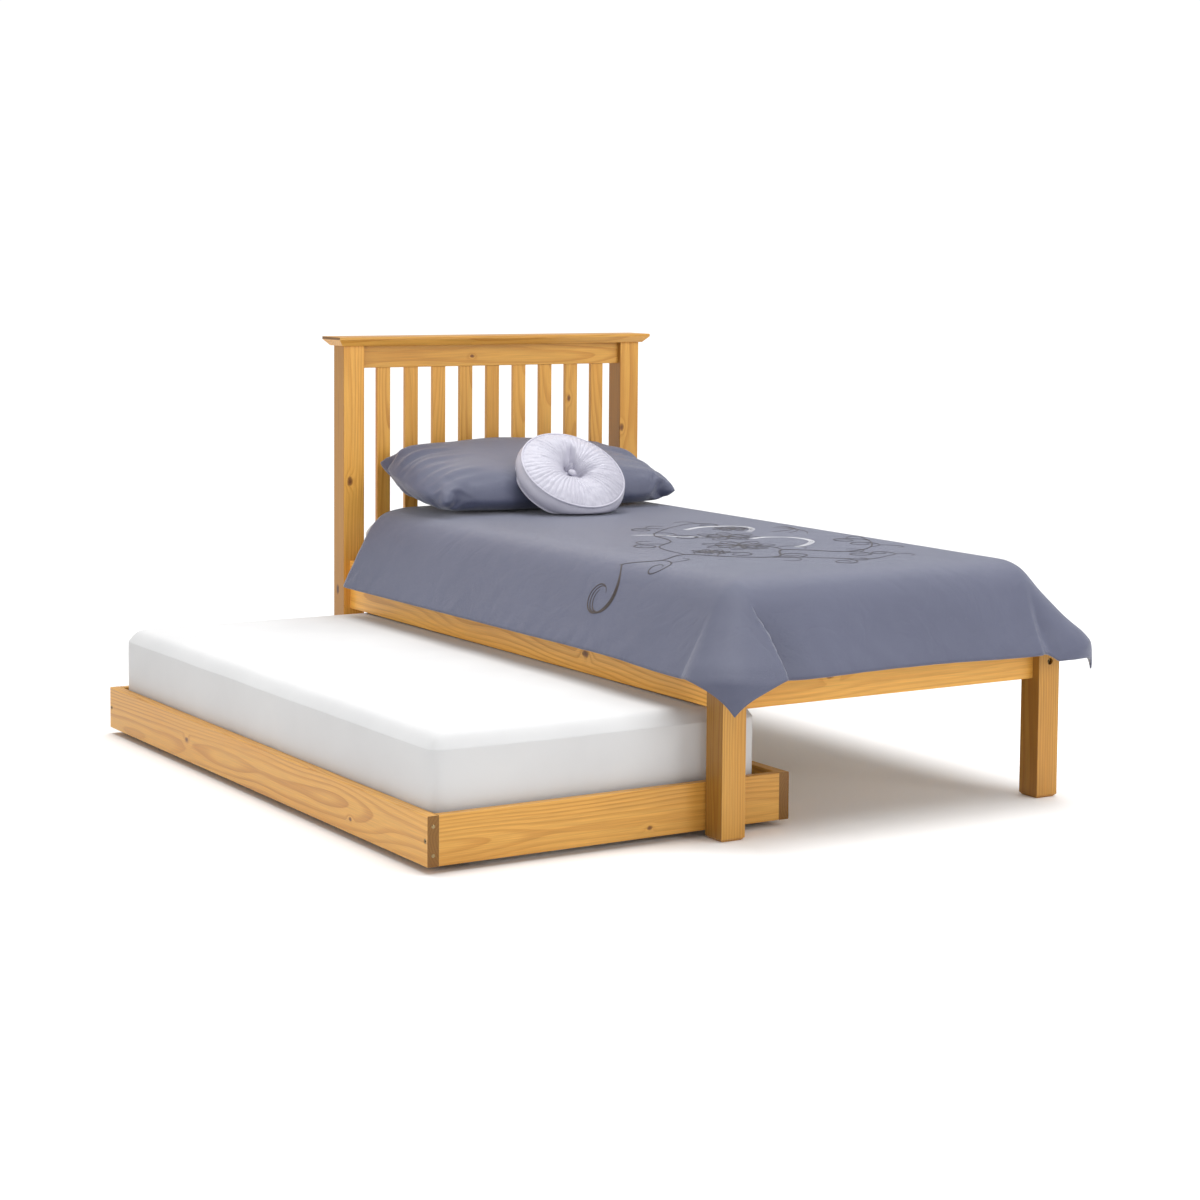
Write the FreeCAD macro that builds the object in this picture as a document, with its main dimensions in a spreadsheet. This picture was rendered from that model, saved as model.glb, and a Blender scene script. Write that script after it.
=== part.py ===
import FreeCAD, Part
import os
import re
import Sketcher

# A single pine bed with a pull-out trundle bed on castors, dressed for a guest room.
# Lengths are in millimetres.  +X runs across the bed, +Y from the foot to the headboard and
# +Z up.  The trundle is pulled out towards -X.  The origin is on the floor, in the middle of
# the box that the whole object fills with the trundle pulled out.

SIZES = {
    # bed frame
    "bed_width": 1010,
    "bed_length": 2000,
    "post_side": 66,
    "post_height": 1060,
    "leg_height": 445,
    "foot_bevel": 7,
    "edge_ease": 2,
    # headboard
    "cap_overhang": 25,
    "cap_seat_overhang": 8,
    "cap_bevel_height": 18,
    "cap_band_height": 8,
    "panel_setback": 15,
    "panel_thick": 22,
    "top_rail_height": 65,
    "slat_width": 42,
    "slat_thick": 14,
    "slat_pitch": 91.5,
    "slat_housing": 12,
    # rails
    "rail_thick": 22,
    "rail_height": 140,
    "rail_bottom": 297,
    "side_setback": 20,
    "foot_setback": 24,
    "tenon_length": 25,
    "tenon_thick": 12,
    "tenon_shoulder": 10,
    "joint_play": 0.3,
    "hole_play": 0.5,
    "thread_play": 0.1,
    "screw_play": 0.3,
    # slatted base
    "ledge_side": 30,
    "ledge_drop": 115,
    "base_slat_width": 70,
    "base_slat_thick": 18,
    "base_slat_pitch": 160,
    "slat_end_gap": 1,
    # bolted joints of the bed frame
    "bolt_low": 43,
    "bolt_spacing": 54,
    "bolt_radius": 4,
    "bolt_head_radius": 7.5,
    "bolt_head_height": 5,
    "bolt_recess": 12,
    "bolt_length": 98,
    "socket_width": 5,
    "socket_depth": 3,
    "nut_radius": 6,
    "nut_length": 16,
    "nut_inset": 32,
    "dowel_radius": 5,
    "dowel_length": 50,
    # screws
    "screw_radius": 2,
    "screw_head_radius": 4,
    "screw_head_height": 2.6,
    "screw_length": 34,
    "castor_screw_length": 16,
    # trundle frame
    "trundle_width": 956,
    "trundle_length": 1860,
    "trundle_pull": 717,
    "trundle_bottom": 16,
    "trundle_height": 112,
    "trundle_rail_thick": 28,
    "trundle_end_thick": 22,
    "trundle_ledge_side": 24,
    "trundle_ledge_height": 22,
    "trundle_ledge_drop": 68,
    "trundle_slat_pitch": 150,
    "trundle_bolt_radius": 3,
    "trundle_head_radius": 5.5,
    "trundle_head_height": 4,
    "trundle_bolt_length": 60,
    "trundle_nut_radius": 5,
    "trundle_nut_length": 14,
    "trundle_nut_inset": 22,
    # castors
    "wheel_radius": 25,
    "wheel_width": 18,
    "wheel_round": 4,
    "wheel_dish": 2,
    "hub_radius": 9,
    "axle_radius": 4,
    "axle_play": 0.06,
    "axle_head_radius": 6,
    "axle_head_height": 2,
    "fork_gap": 22,
    "fork_sheet": 2.5,
    "fork_length": 40,
    "fork_plate_width": 62,
    "fork_top": 56,
    "fork_nose": 9,
    "block_length": 110,
    "block_width": 80,
    "block_thick": 26,
    # bedding
    "mattress_width": 900,
    "mattress_length": 1895,
    "mattress_thick": 180,
    "mattress_corner": 52,
    "mattress_round": 32,
    "trundle_mattress_width": 860,
    "trundle_mattress_length": 1796,
    "trundle_mattress_thick": 192,
    "mattress_gap": 2,
    "duvet_top": 590,
    "duvet_hem": 390,
    "duvet_half_top": 462,
    "duvet_half_hem": 548,
    "duvet_foot_top": 965,
    "duvet_foot_hem": 1048,
    "duvet_head": 845,
    "duvet_sheet": 15,
    "duvet_filling": 39,
    "duvet_round": 34,
    "duvet_tip_reach": 22,
    "duvet_tip_hang": 85,
    "duvet_tip_spread": 88,
    "pillow_width": 780,
    "pillow_depth": 360,
    "pillow_thick": 100,
    "pillow_round": 44,
    "pillow_off": 25,
    "pillow_back": 765,
    "pillow_rise": 685,
    "pillow_slope": 18,
    "cushion_radius": 152,
    "cushion_thick": 46,
    "cushion_round": 20,
    "cushion_back": 505,
    "cushion_rise": 697,
    "cushion_slope": 38,
    "button_radius": 12,
    "button_height": 6,
}
HEADBOARD_SLATS = 9
BASE_SLATS = 12
SOFT_GAP = 0.5
ORIGIN_X = "(trundle_reach - duvet_reach) / 2"
ORIGIN_Y = "(duvet_foot_reach - headboard_reach) / 2"
REACHES = {
    "trundle_reach": "bed_width / 2 + trundle_pull",
    "duvet_reach": "duvet_half_hem + duvet_tip_reach",
    "duvet_foot_reach": "duvet_foot_hem + duvet_tip_reach",
    "headboard_reach": "bed_length / 2 + cap_overhang",
}

doc = FreeCAD.newDocument("trundle_bed")
sheet = doc.addObject("Spreadsheet::Sheet", "Dims")
for row, (alias, value) in enumerate(SIZES.items(), start=1):
    sheet.set(f"A{row}", alias.replace("_", " "))
    sheet.set(f"B{row}", str(value))
    sheet.setAlias(f"B{row}", alias)
for row, (alias, rule) in enumerate(REACHES.items(), start=len(SIZES) + 1):
    sheet.set(f"A{row}", alias.replace("_", " "))
    sheet.set(f"B{row}", "=" + rule)
    sheet.setAlias(f"B{row}", alias)
doc.recompute()

NODES = []
HALF_W = "bed_width / 2"
HALF_L = "bed_length / 2"
TURN = {
    "x": FreeCAD.Rotation(FreeCAD.Vector(0, 1, 0), 90),
    "y": FreeCAD.Rotation(FreeCAD.Vector(1, 0, 0), -90),
    "z": FreeCAD.Rotation(),
}


def formula(rule):
    """A rule in size names, written for the spreadsheet's aliases."""
    names = set(SIZES) | set(REACHES)
    return re.sub(r"[a-z_]+", lambda m: "Dims." + m[0] if m[0] in names else m[0], str(rule))


def size(alias):
    """The present value of one size."""
    value = sheet.get(alias)
    return float(getattr(value, "Value", value))


def bind(item, **rules):
    for name, rule in rules.items():
        item.setExpression(name.replace("__", "."), formula(rule))
    return item


def put(item, x, y, z, turn="z"):
    """Place an item by its own origin, on rules in the item's parent frame."""
    item.Placement = FreeCAD.Placement(FreeCAD.Vector(), TURN[turn])
    return bind(item, Placement__Base__x=x, Placement__Base__y=y, Placement__Base__z=z)


def stand(item, x, y, z):
    """Place a finished piece, on rules measured from the middle of the bed."""
    NODES.append(item)
    return bind(item, Placement__Base__x=f"({x}) + {ORIGIN_X}",
                Placement__Base__y=f"({y}) + {ORIGIN_Y}", Placement__Base__z=z)


def new_body(name):
    body = doc.addObject("PartDesign::Body", name)
    body.Label = name
    return body


def block(body, length, width, height, x="0", y="0", z="0"):
    """A squared timber or pad inside a body, from its lowest corner."""
    box = body.newObject("PartDesign::AdditiveBox", body.Name + "_timber")
    bind(box, Length=length, Width=width, Height=height)
    return put(box, x, y, z)


def housing(body, length, width, height, x, y, z):
    """A rectangular mortise or housing."""
    box = body.newObject("PartDesign::SubtractiveBox", body.Name + "_housing")
    bind(box, Length=length, Width=width, Height=height)
    return put(box, x, y, z)


def bore(body, radius, depth, x, y, z, along):
    """A round hole that starts at a point and runs along +X, +Y or +Z."""
    drill = body.newObject("PartDesign::SubtractiveCylinder", body.Name + "_bore")
    bind(drill, Radius=radius, Height=depth)
    return put(drill, x, y, z, along)


def dress(body, kind, amount, wanted):
    """Fillet or chamfer the edges of the body's present shape that pass a test."""
    doc.recompute()
    base = body.Tip
    edges = [f"Edge{i}" for i, edge in enumerate(base.Shape.Edges, start=1) if wanted(edge)]
    feature = body.newObject("PartDesign::" + kind, body.Name + "_" + kind.lower())
    feature.Base = (base, edges)
    bind(feature, **{"Radius" if kind == "Fillet" else "Size": amount})
    return feature


def runs_along(edge, axis):
    box = edge.BoundBox
    spans = {"x": box.XLength, "y": box.YLength, "z": box.ZLength}
    return spans.pop(axis) > max(spans.values())


def plane_of(body, role):
    return next(f for f in body.Origin.OriginFeatures if f.Role == role)


def new_sketch(body, role, name):
    sketch = body.newObject("Sketcher::SketchObject", name)
    sketch.AttachmentSupport = (plane_of(body, role), [""])
    sketch.MapMode = "FlatFace"
    return sketch


def add_loop(sketch, points):
    """A closed outline of straight sides; each corner's X and Y are rules bound to the sheet."""
    values = [(eval_rule(x), eval_rule(y)) for x, y in points]
    count = len(points)
    first = sketch.GeometryCount
    for i in range(count):
        start = FreeCAD.Vector(*values[i], 0)
        end = FreeCAD.Vector(*values[(i + 1) % count], 0)
        sketch.addGeometry(Part.LineSegment(start, end), False)
    for i in range(count):
        sketch.addConstraint(Sketcher.Constraint("Coincident", first + i, 2, first + (i + 1) % count, 1))
    for i, (x, y) in enumerate(points):
        for kind, rule, value in (("DistanceX", x, values[i][0]), ("DistanceY", y, values[i][1])):
            if abs(value) < 1e-9:
                onto = -2 if kind == "DistanceX" else -1
                sketch.addConstraint(Sketcher.Constraint("PointOnObject", first + i, 1, onto))
                continue
            index = sketch.addConstraint(Sketcher.Constraint(kind, -1, 1, first + i, 1, value))
            sketch.setExpression(f"Constraints[{index}]", formula(rule))


def eval_rule(rule):
    """The present value of a rule, worked out by the document's own expression engine."""
    value = sheet.evalExpression(formula(rule).replace("Dims.", ""))
    return float(getattr(value, "Value", value))


def copies(name, pieces):
    """One node that holds several separate solids."""
    group = doc.addObject("Part::Compound", name)
    group.Label = name
    group.Links = pieces
    return group


def cylinder(name, radius, height, x, y, z, along="z"):
    rod = doc.addObject("Part::Cylinder", name)
    bind(rod, Radius=radius, Height=height)
    return put(rod, x, y, z, along)


def fused(name, parts):
    whole = doc.addObject("Part::MultiFuse", name)
    whole.Shapes = parts
    return whole


def pierced(name, base, tool):
    rest = doc.addObject("Part::Cut", name)
    rest.Base = base
    rest.Tool = tool
    return rest


SIDE_CENTRE = "bed_width / 2 - side_setback - rail_thick / 2"
BOLT_HEIGHTS = ("rail_bottom + bolt_low", "rail_bottom + bolt_low + bolt_spacing")
DOWEL_HEIGHT = "rail_bottom + bolt_low + bolt_spacing / 2"
PANEL_CENTRE = "bed_length / 2 - post_side + panel_setback + panel_thick / 2"
FOOT_CENTRE = "-bed_length / 2 + foot_setback + rail_thick / 2"
BETWEEN_POSTS = "bed_width - 2 * post_side"
TENON_HEIGHT = "rail_height - 2 * tenon_shoulder"
DOWEL_DEPTH = "dowel_length / 2 + 2 * hole_play"


# ---------------------------------------------------------------- bed frame

def upright(name, side, end, height, joints):
    """A corner post.  Its own frame is at the middle of its foot, with +X towards the bed's
    middle and +Y away from the bed's other end, so that both sides share one recipe."""
    body = new_body(name)
    block(body, "post_side", "post_side", height, "-post_side / 2", "-post_side / 2")
    dress(body, "Chamfer", "foot_bevel", lambda e: e.BoundBox.ZMax < 1)
    dress(body, "Fillet", "edge_ease", lambda e: e.BoundBox.ZMax > 100)
    rail_x = f"{side} * (post_side / 2 - side_setback - rail_thick / 2)"
    recess_y = "post_side / 2 - bolt_recess" if end > 0 else "-post_side / 2"
    for level in BOLT_HEIGHTS:
        bore(body, "bolt_head_radius + 2 * hole_play", "bolt_recess", rail_x, recess_y, level, "y")
        bore(body, "bolt_radius + hole_play", "post_side", rail_x, "-post_side / 2", level, "y")
    dowel_y = "-post_side / 2" if end > 0 else f"post_side / 2 - ({DOWEL_DEPTH})"
    bore(body, "dowel_radius + thread_play", DOWEL_DEPTH, rail_x, dowel_y, DOWEL_HEIGHT, "y")
    slot_x = "-post_side / 2" if side > 0 else "post_side / 2 - tenon_length - joint_play"
    for low, tall, across in joints:
        housing(body, "tenon_length + joint_play", "tenon_thick + 2 * joint_play",
                f"{tall} + 2 * joint_play", slot_x,
                f"{across} - tenon_thick / 2 - joint_play", f"{low} - joint_play")
    stand(body, f"{side} * (bed_width / 2 - post_side / 2)",
          f"{end} * (bed_length / 2 - post_side / 2)", "0")


def cross_rail(name, height, low, y_centre, tenon_low, tenon_tall):
    """A rail between two uprights, with a stub tenon at each end."""
    body = new_body(name)
    block(body, BETWEEN_POSTS, "rail_thick", height, f"-({BETWEEN_POSTS}) / 2", "-rail_thick / 2")
    dress(body, "Fillet", "edge_ease", lambda e: runs_along(e, "x"))
    for end in (f"-({BETWEEN_POSTS}) / 2 - tenon_length", f"({BETWEEN_POSTS}) / 2"):
        block(body, "tenon_length", "tenon_thick", tenon_tall, end, "-tenon_thick / 2", tenon_low)
    stand(body, "0", y_centre, low)
    return body


def slat_centre(index):
    return f"{index - (HEADBOARD_SLATS - 1) / 2} * slat_pitch"


def headboard():
    panel_y = "-post_side / 2 + panel_setback + panel_thick / 2"
    joints = (
        ("rail_bottom + tenon_shoulder", TENON_HEIGHT, panel_y),
        ("post_height - top_rail_height + tenon_shoulder", "top_rail_height - 2 * tenon_shoulder", panel_y),
    )
    upright("headboard_post_left", -1, 1, "post_height", joints)
    upright("headboard_post_right", 1, 1, "post_height", joints)
    room = "slat_thick + 2 * joint_play"
    top = cross_rail("headboard_top_rail", "top_rail_height", "post_height - top_rail_height",
                     PANEL_CENTRE, "tenon_shoulder", "top_rail_height - 2 * tenon_shoulder")
    low = cross_rail("headboard_bottom_rail", "rail_height", "rail_bottom", PANEL_CENTRE,
                     "tenon_shoulder", TENON_HEIGHT)
    for i in range(HEADBOARD_SLATS):
        left = f"{slat_centre(i)} - slat_width / 2 - joint_play"
        wide = "slat_width + 2 * joint_play"
        housing(top, wide, room, "slat_housing + joint_play", left, f"-({room}) / 2", "0")
        housing(low, wide, room, "slat_housing + joint_play", left, f"-({room}) / 2",
                "rail_height - slat_housing - joint_play")
        slat = new_body(f"headboard_slat_{i + 1}")
        block(slat, "slat_width", "slat_thick",
              "post_height - top_rail_height - rail_bottom - rail_height + 2 * slat_housing",
              "-slat_width / 2", "-slat_thick / 2")
        dress(slat, "Fillet", "edge_ease / 2", lambda e: runs_along(e, "z"))
        stand(slat, slat_centre(i), PANEL_CENTRE, "rail_bottom + rail_height - slat_housing")


def headboard_cap():
    """The moulded cap: a splayed underside, then a narrow upright band up to the flat top."""
    body = new_body("headboard_cap")
    levels = (("cap_seat_overhang", "0"), ("cap_overhang", "cap_bevel_height"))
    outlines = []
    for overhang, level in levels:
        outline = new_sketch(body, "XY_Plane", "cap_outline")
        half_x = f"(bed_width / 2 + {overhang})"
        half_y = f"(post_side / 2 + {overhang})"
        add_loop(outline, ((f"-{half_x}", f"-{half_y}"), (half_x, f"-{half_y}"),
                           (half_x, half_y), (f"-{half_x}", half_y)))
        bind(outline, AttachmentOffset__Base__z=level)
        outlines.append(outline)
    splay = body.newObject("PartDesign::AdditiveLoft", "cap_splay")
    splay.Profile = outlines[0]
    splay.Sections = [outlines[1]]
    splay.Ruled = True
    band = body.newObject("PartDesign::Pad", "cap_band")
    band.Profile = outlines[1]
    bind(band, Length="cap_band_height")
    dress(body, "Fillet", "edge_ease", lambda e: e.BoundBox.ZMin > size("cap_bevel_height") + 1
          and not runs_along(e, "z"))
    stand(body, "0", "bed_length / 2 - post_side / 2", "post_height")


def foot_end():
    foot_y = "-post_side / 2 + foot_setback + rail_thick / 2"
    joints = (("rail_bottom + tenon_shoulder", TENON_HEIGHT, foot_y),)
    upright("foot_leg_left", -1, -1, "leg_height", joints)
    upright("foot_leg_right", 1, -1, "leg_height", joints)
    cross_rail("foot_rail", "rail_height", "rail_bottom", FOOT_CENTRE, "tenon_shoulder", TENON_HEIGHT)


def side_rail(name, side):
    """A side rail, bored at both ends for its bolts, cross nuts and locating dowel."""
    body = new_body(name)
    span = "bed_length - 2 * post_side"
    block(body, "rail_thick", span, "rail_height", "-rail_thick / 2", f"-({span}) / 2")
    dress(body, "Fillet", "edge_ease", lambda e: runs_along(e, "y"))
    nut_bore = "rail_thick / 2 + nut_length / 2 + hole_play"
    nut_x = "-rail_thick / 2" if side > 0 else "-nut_length / 2 - hole_play"
    shaft = "bolt_length - post_side + bolt_recess + 2"
    for end in (-1, 1):
        for level in ("bolt_low", "bolt_low + bolt_spacing"):
            start = f"-({span}) / 2" if end < 0 else f"({span}) / 2 - ({shaft})"
            bore(body, "bolt_radius + hole_play", shaft, "0", start, level, "y")
            bore(body, "nut_radius + joint_play", nut_bore, nut_x,
                 f"{end} * (({span}) / 2 - nut_inset)", level, "x")
        start = f"-({span}) / 2" if end < 0 else f"({span}) / 2 - ({DOWEL_DEPTH})"
        bore(body, "dowel_radius + thread_play", DOWEL_DEPTH, "0", start,
             "bolt_low + bolt_spacing / 2", "y")
    stand(body, f"{side} * ({SIDE_CENTRE})", "0", "rail_bottom")


def base_slat_y(index, pitch):
    return f"{index - (BASE_SLATS - 1) / 2} * {pitch}"


def ledge(name, width, height, length, pitch, x, z):
    """A bearer along a rail's inner face, bored for the screws that hold the slats."""
    body = new_body(name)
    block(body, width, length, height, f"-{width} / 2", f"-({length}) / 2")
    for i in range(BASE_SLATS):
        bore(body, "screw_radius + screw_play", f"{height} - edge_ease", "0", base_slat_y(i, pitch),
             "edge_ease", "z")
    stand(body, x, "0", z)


BASE_LEDGE_X = "bed_width / 2 - side_setback - rail_thick - ledge_side / 2"
BASE_LEDGE_Z = "rail_bottom + rail_height - ledge_drop"
BASE_TOP = f"{BASE_LEDGE_Z} + ledge_side + base_slat_thick"
BASE_SPAN = "bed_width - 2 * side_setback - 2 * rail_thick - 2 * slat_end_gap"
SCREW_SINK = "screw_head_height + screw_play"


def slat_board(name, span, screw_x):
    """A cross slat with a countersunk screw hole near each end."""
    body = new_body(name)
    block(body, span, "base_slat_width", "base_slat_thick", f"-({span}) / 2", "-base_slat_width / 2")
    dress(body, "Fillet", "edge_ease", lambda e: runs_along(e, "x"))
    for side in (-1, 1):
        spot = f"{side} * ({screw_x})"
        bore(body, "screw_radius + screw_play", "base_slat_thick", spot, "0", "0", "z")
        bore(body, "screw_head_radius + screw_play", SCREW_SINK, spot, "0",
             f"base_slat_thick - ({SCREW_SINK})", "z")
    return body


def screw(name, length, x, y, top):
    shank = cylinder(name + "_shank", "screw_radius", f"{length} - screw_head_height", x, y,
                     f"{top} - ({length})")
    head = cylinder(name + "_head", "screw_head_radius", "screw_head_height", x, y,
                    f"{top} - screw_head_height")
    return fused(name, [shank, head])


def slatted_base():
    for name, side in (("left", -1), ("right", 1)):
        ledge(f"slat_ledge_{name}", "ledge_side", "ledge_side", "bed_length - 2 * post_side",
              "base_slat_pitch", f"{side} * ({BASE_LEDGE_X})", BASE_LEDGE_Z)
    screws = []
    for i in range(BASE_SLATS):
        board = slat_board(f"bed_slat_{i + 1}", BASE_SPAN, BASE_LEDGE_X)
        stand(board, "0", base_slat_y(i, "base_slat_pitch"), f"{BASE_LEDGE_Z} + ledge_side")
        for side in (-1, 1):
            screws.append(screw(f"bed_screw_{len(screws)}", "screw_length", f"{side} * ({BASE_LEDGE_X})",
                                base_slat_y(i, "base_slat_pitch"), f"{BASE_TOP} - screw_play / 2"))
    stand(copies("bed_slat_screws", screws), "0", "0", "0")


def hex_bolt(name, radius, head_radius, head_height, length, x, y, z, along, inward):
    """A bolt with a round head and a hexagon socket, drawn from its head towards its tip."""
    head_at = "0" if inward > 0 else f"-({head_height})"
    shank_at = head_height if inward > 0 else f"-({length})"
    head = cylinder(name + "_head", head_radius, head_height, "0", "0", head_at)
    shank = cylinder(name + "_shank", radius, f"{length} - {head_height}", "0", "0", shank_at)
    socket = doc.addObject("Part::Prism", name + "_socket")
    socket.Polygon = 6
    bind(socket, Circumradius="socket_width / sqrt(3)", Height="socket_depth")
    put(socket, "0", "0", "0" if inward > 0 else "-socket_depth")
    return put(pierced(name, fused(name + "_blank", [head, shank]), socket), x, y, z, along)


def cross_nut(name, radius, length, hole, x, y, z, along, across):
    """A round nut that lies across the rail and takes the bolt through its side."""
    barrel = cylinder(name + "_barrel", radius, length, "0", "0", f"-{length} / 2", "z")
    put(barrel, *[f"-{length} / 2" if axis == along else "0" for axis in "xyz"], along)
    thread = cylinder(name + "_thread", hole, f"4 * {radius}", "0", "0", "0")
    put(thread, *[f"-2 * {radius}" if axis == across else "0" for axis in "xyz"], across)
    return put(pierced(name, barrel, thread), x, y, z)


def frame_fasteners():
    bolts = []
    nuts = []
    dowels = []
    for side in (-1, 1):
        x = f"{side} * ({SIDE_CENTRE})"
        for end in (-1, 1):
            for level in BOLT_HEIGHTS:
                bolts.append(hex_bolt(
                    f"rail_bolt_{len(bolts)}", "bolt_radius", "bolt_head_radius", "bolt_head_height",
                    "bolt_length", x, f"{end} * (bed_length / 2 - bolt_recess + bolt_head_height)",
                    level, "y", -end))
                nuts.append(cross_nut(
                    f"rail_nut_{len(nuts)}", "nut_radius", "nut_length", "bolt_radius + thread_play", x,
                    f"{end} * (bed_length / 2 - post_side - nut_inset)", level, "x", "y"))
            y = f"{end} * (bed_length / 2 - post_side) - dowel_length / 2"
            dowels.append(cylinder(f"rail_dowel_{len(dowels)}", "dowel_radius", "dowel_length",
                                   x, y, DOWEL_HEIGHT, "y"))
    stand(copies("rail_bolts", bolts), "0", "0", "0")
    stand(copies("rail_barrel_nuts", nuts), "0", "0", "0")
    stand(copies("rail_dowels", dowels), "0", "0", "0")


# ---------------------------------------------------------------- trundle

TRUNDLE_OUT = "(-bed_width / 2 - trundle_pull)"
TRUNDLE_IN = f"({TRUNDLE_OUT} + trundle_width)"
TRUNDLE_MID = f"({TRUNDLE_OUT} + trundle_width / 2)"
TRUNDLE_LEDGE_Z = "trundle_bottom + trundle_height - trundle_ledge_drop"
TRUNDLE_BASE = f"{TRUNDLE_LEDGE_Z} + trundle_ledge_height"
TRUNDLE_TOP = f"{TRUNDLE_BASE} + base_slat_thick"
TRUNDLE_BOLT_Y = "trundle_length / 2 - trundle_end_thick / 2"
TRUNDLE_BOLT_Z = "trundle_bottom + trundle_height / 2"
TRUNDLE_CLEAR = "trundle_width - 2 * trundle_rail_thick"
TRUNDLE_LEDGE_X = "trundle_width / 2 - trundle_rail_thick - trundle_ledge_side / 2"


def trundle_long_rail(name, side):
    body = new_body(name)
    block(body, "trundle_rail_thick", "trundle_length", "trundle_height", "-trundle_rail_thick / 2",
          "-trundle_length / 2")
    dress(body, "Fillet", "edge_ease", lambda e: runs_along(e, "y"))
    head_depth = "trundle_head_height + 2 * hole_play"
    head_x = "-trundle_rail_thick / 2" if side < 0 else f"trundle_rail_thick / 2 - ({head_depth})"
    for end in (-1, 1):
        y = f"{end} * ({TRUNDLE_BOLT_Y})"
        bore(body, "trundle_head_radius + hole_play", head_depth, head_x, y, "trundle_height / 2", "x")
        bore(body, "trundle_bolt_radius + hole_play", "trundle_rail_thick", "-trundle_rail_thick / 2",
             y, "trundle_height / 2", "x")
    stand(body, f"{TRUNDLE_MID} + {side} * (trundle_width / 2 - trundle_rail_thick / 2)", "0",
          "trundle_bottom")


def trundle_end_rail(name, end):
    body = new_body(name)
    block(body, TRUNDLE_CLEAR, "trundle_end_thick", "trundle_height", f"-({TRUNDLE_CLEAR}) / 2",
          "-trundle_end_thick / 2")
    dress(body, "Fillet", "edge_ease", lambda e: runs_along(e, "x"))
    shaft = "trundle_bolt_length - trundle_rail_thick + 2"
    nut_bore = "trundle_end_thick / 2 + trundle_nut_length / 2 + hole_play"
    nut_y = "-trundle_nut_length / 2 - hole_play" if end < 0 else "-trundle_end_thick / 2"
    for side in (-1, 1):
        start = f"-({TRUNDLE_CLEAR}) / 2" if side < 0 else f"({TRUNDLE_CLEAR}) / 2 - ({shaft})"
        bore(body, "trundle_bolt_radius + hole_play", shaft, start, "0", "trundle_height / 2", "x")
        bore(body, "trundle_nut_radius + joint_play", nut_bore,
             f"{side} * (({TRUNDLE_CLEAR}) / 2 - trundle_nut_inset)", nut_y, "trundle_height / 2", "y")
    stand(body, TRUNDLE_MID, f"{end} * ({TRUNDLE_BOLT_Y})", "trundle_bottom")


def trundle_slats(screws):
    boards = []
    for i in range(BASE_SLATS):
        y = base_slat_y(i, "trundle_slat_pitch")
        board = slat_board(f"trundle_board_{i + 1}", f"{TRUNDLE_CLEAR} - 2 * slat_end_gap",
                           TRUNDLE_LEDGE_X)
        bind(board, Placement__Base__y=y)
        boards.append(board)
        for side in (-1, 1):
            screws.append(screw(f"trundle_screw_{len(screws)}", "screw_length",
                                f"{TRUNDLE_MID} + {side} * ({TRUNDLE_LEDGE_X})", y,
                                f"{TRUNDLE_TOP} - screw_play / 2"))
    stand(copies("trundle_slats", boards), TRUNDLE_MID, "0", TRUNDLE_BASE)


def trundle_frame():
    trundle_long_rail("trundle_rail_outer", -1)
    trundle_long_rail("trundle_rail_inner", 1)
    trundle_end_rail("trundle_end_foot", -1)
    trundle_end_rail("trundle_end_head", 1)
    for name, side in (("outer", -1), ("inner", 1)):
        ledge(f"trundle_ledge_{name}", "trundle_ledge_side", "trundle_ledge_height",
              "trundle_length - 2 * trundle_end_thick", "trundle_slat_pitch",
              f"{TRUNDLE_MID} + {side} * ({TRUNDLE_LEDGE_X})", TRUNDLE_LEDGE_Z)
    bolts = []
    nuts = []
    for side in (-1, 1):
        for end in (-1, 1):
            y = f"{end} * ({TRUNDLE_BOLT_Y})"
            bolts.append(hex_bolt(
                f"trundle_bolt_{len(bolts)}", "trundle_bolt_radius", "trundle_head_radius",
                "trundle_head_height", "trundle_bolt_length",
                f"{TRUNDLE_MID} + {side} * (trundle_width / 2 - hole_play)", y, TRUNDLE_BOLT_Z,
                "x", -side))
            nut_x = f"{TRUNDLE_MID} + {side} * (({TRUNDLE_CLEAR}) / 2 - trundle_nut_inset)"
            nuts.append(cross_nut(f"trundle_nut_{len(nuts)}", "trundle_nut_radius",
                                  "trundle_nut_length", "trundle_bolt_radius + thread_play", nut_x, y,
                                  TRUNDLE_BOLT_Z, "y", "x"))
    stand(copies("trundle_bolts", bolts), "0", "0", "0")
    stand(copies("trundle_barrel_nuts", nuts), "0", "0", "0")


# ---------------------------------------------------------------- castors

CASTOR_X = "(trundle_width / 2 - trundle_rail_thick - trundle_ledge_side - block_length / 2)"
CASTOR_Y = "(trundle_length / 2 - trundle_end_thick - block_width / 2)"
PLATE_SCREW_X = "(fork_plate_width / 2 - 7)"


def castor_places():
    return [(side, end) for side in (-1, 1) for end in (-1, 1)]


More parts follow.
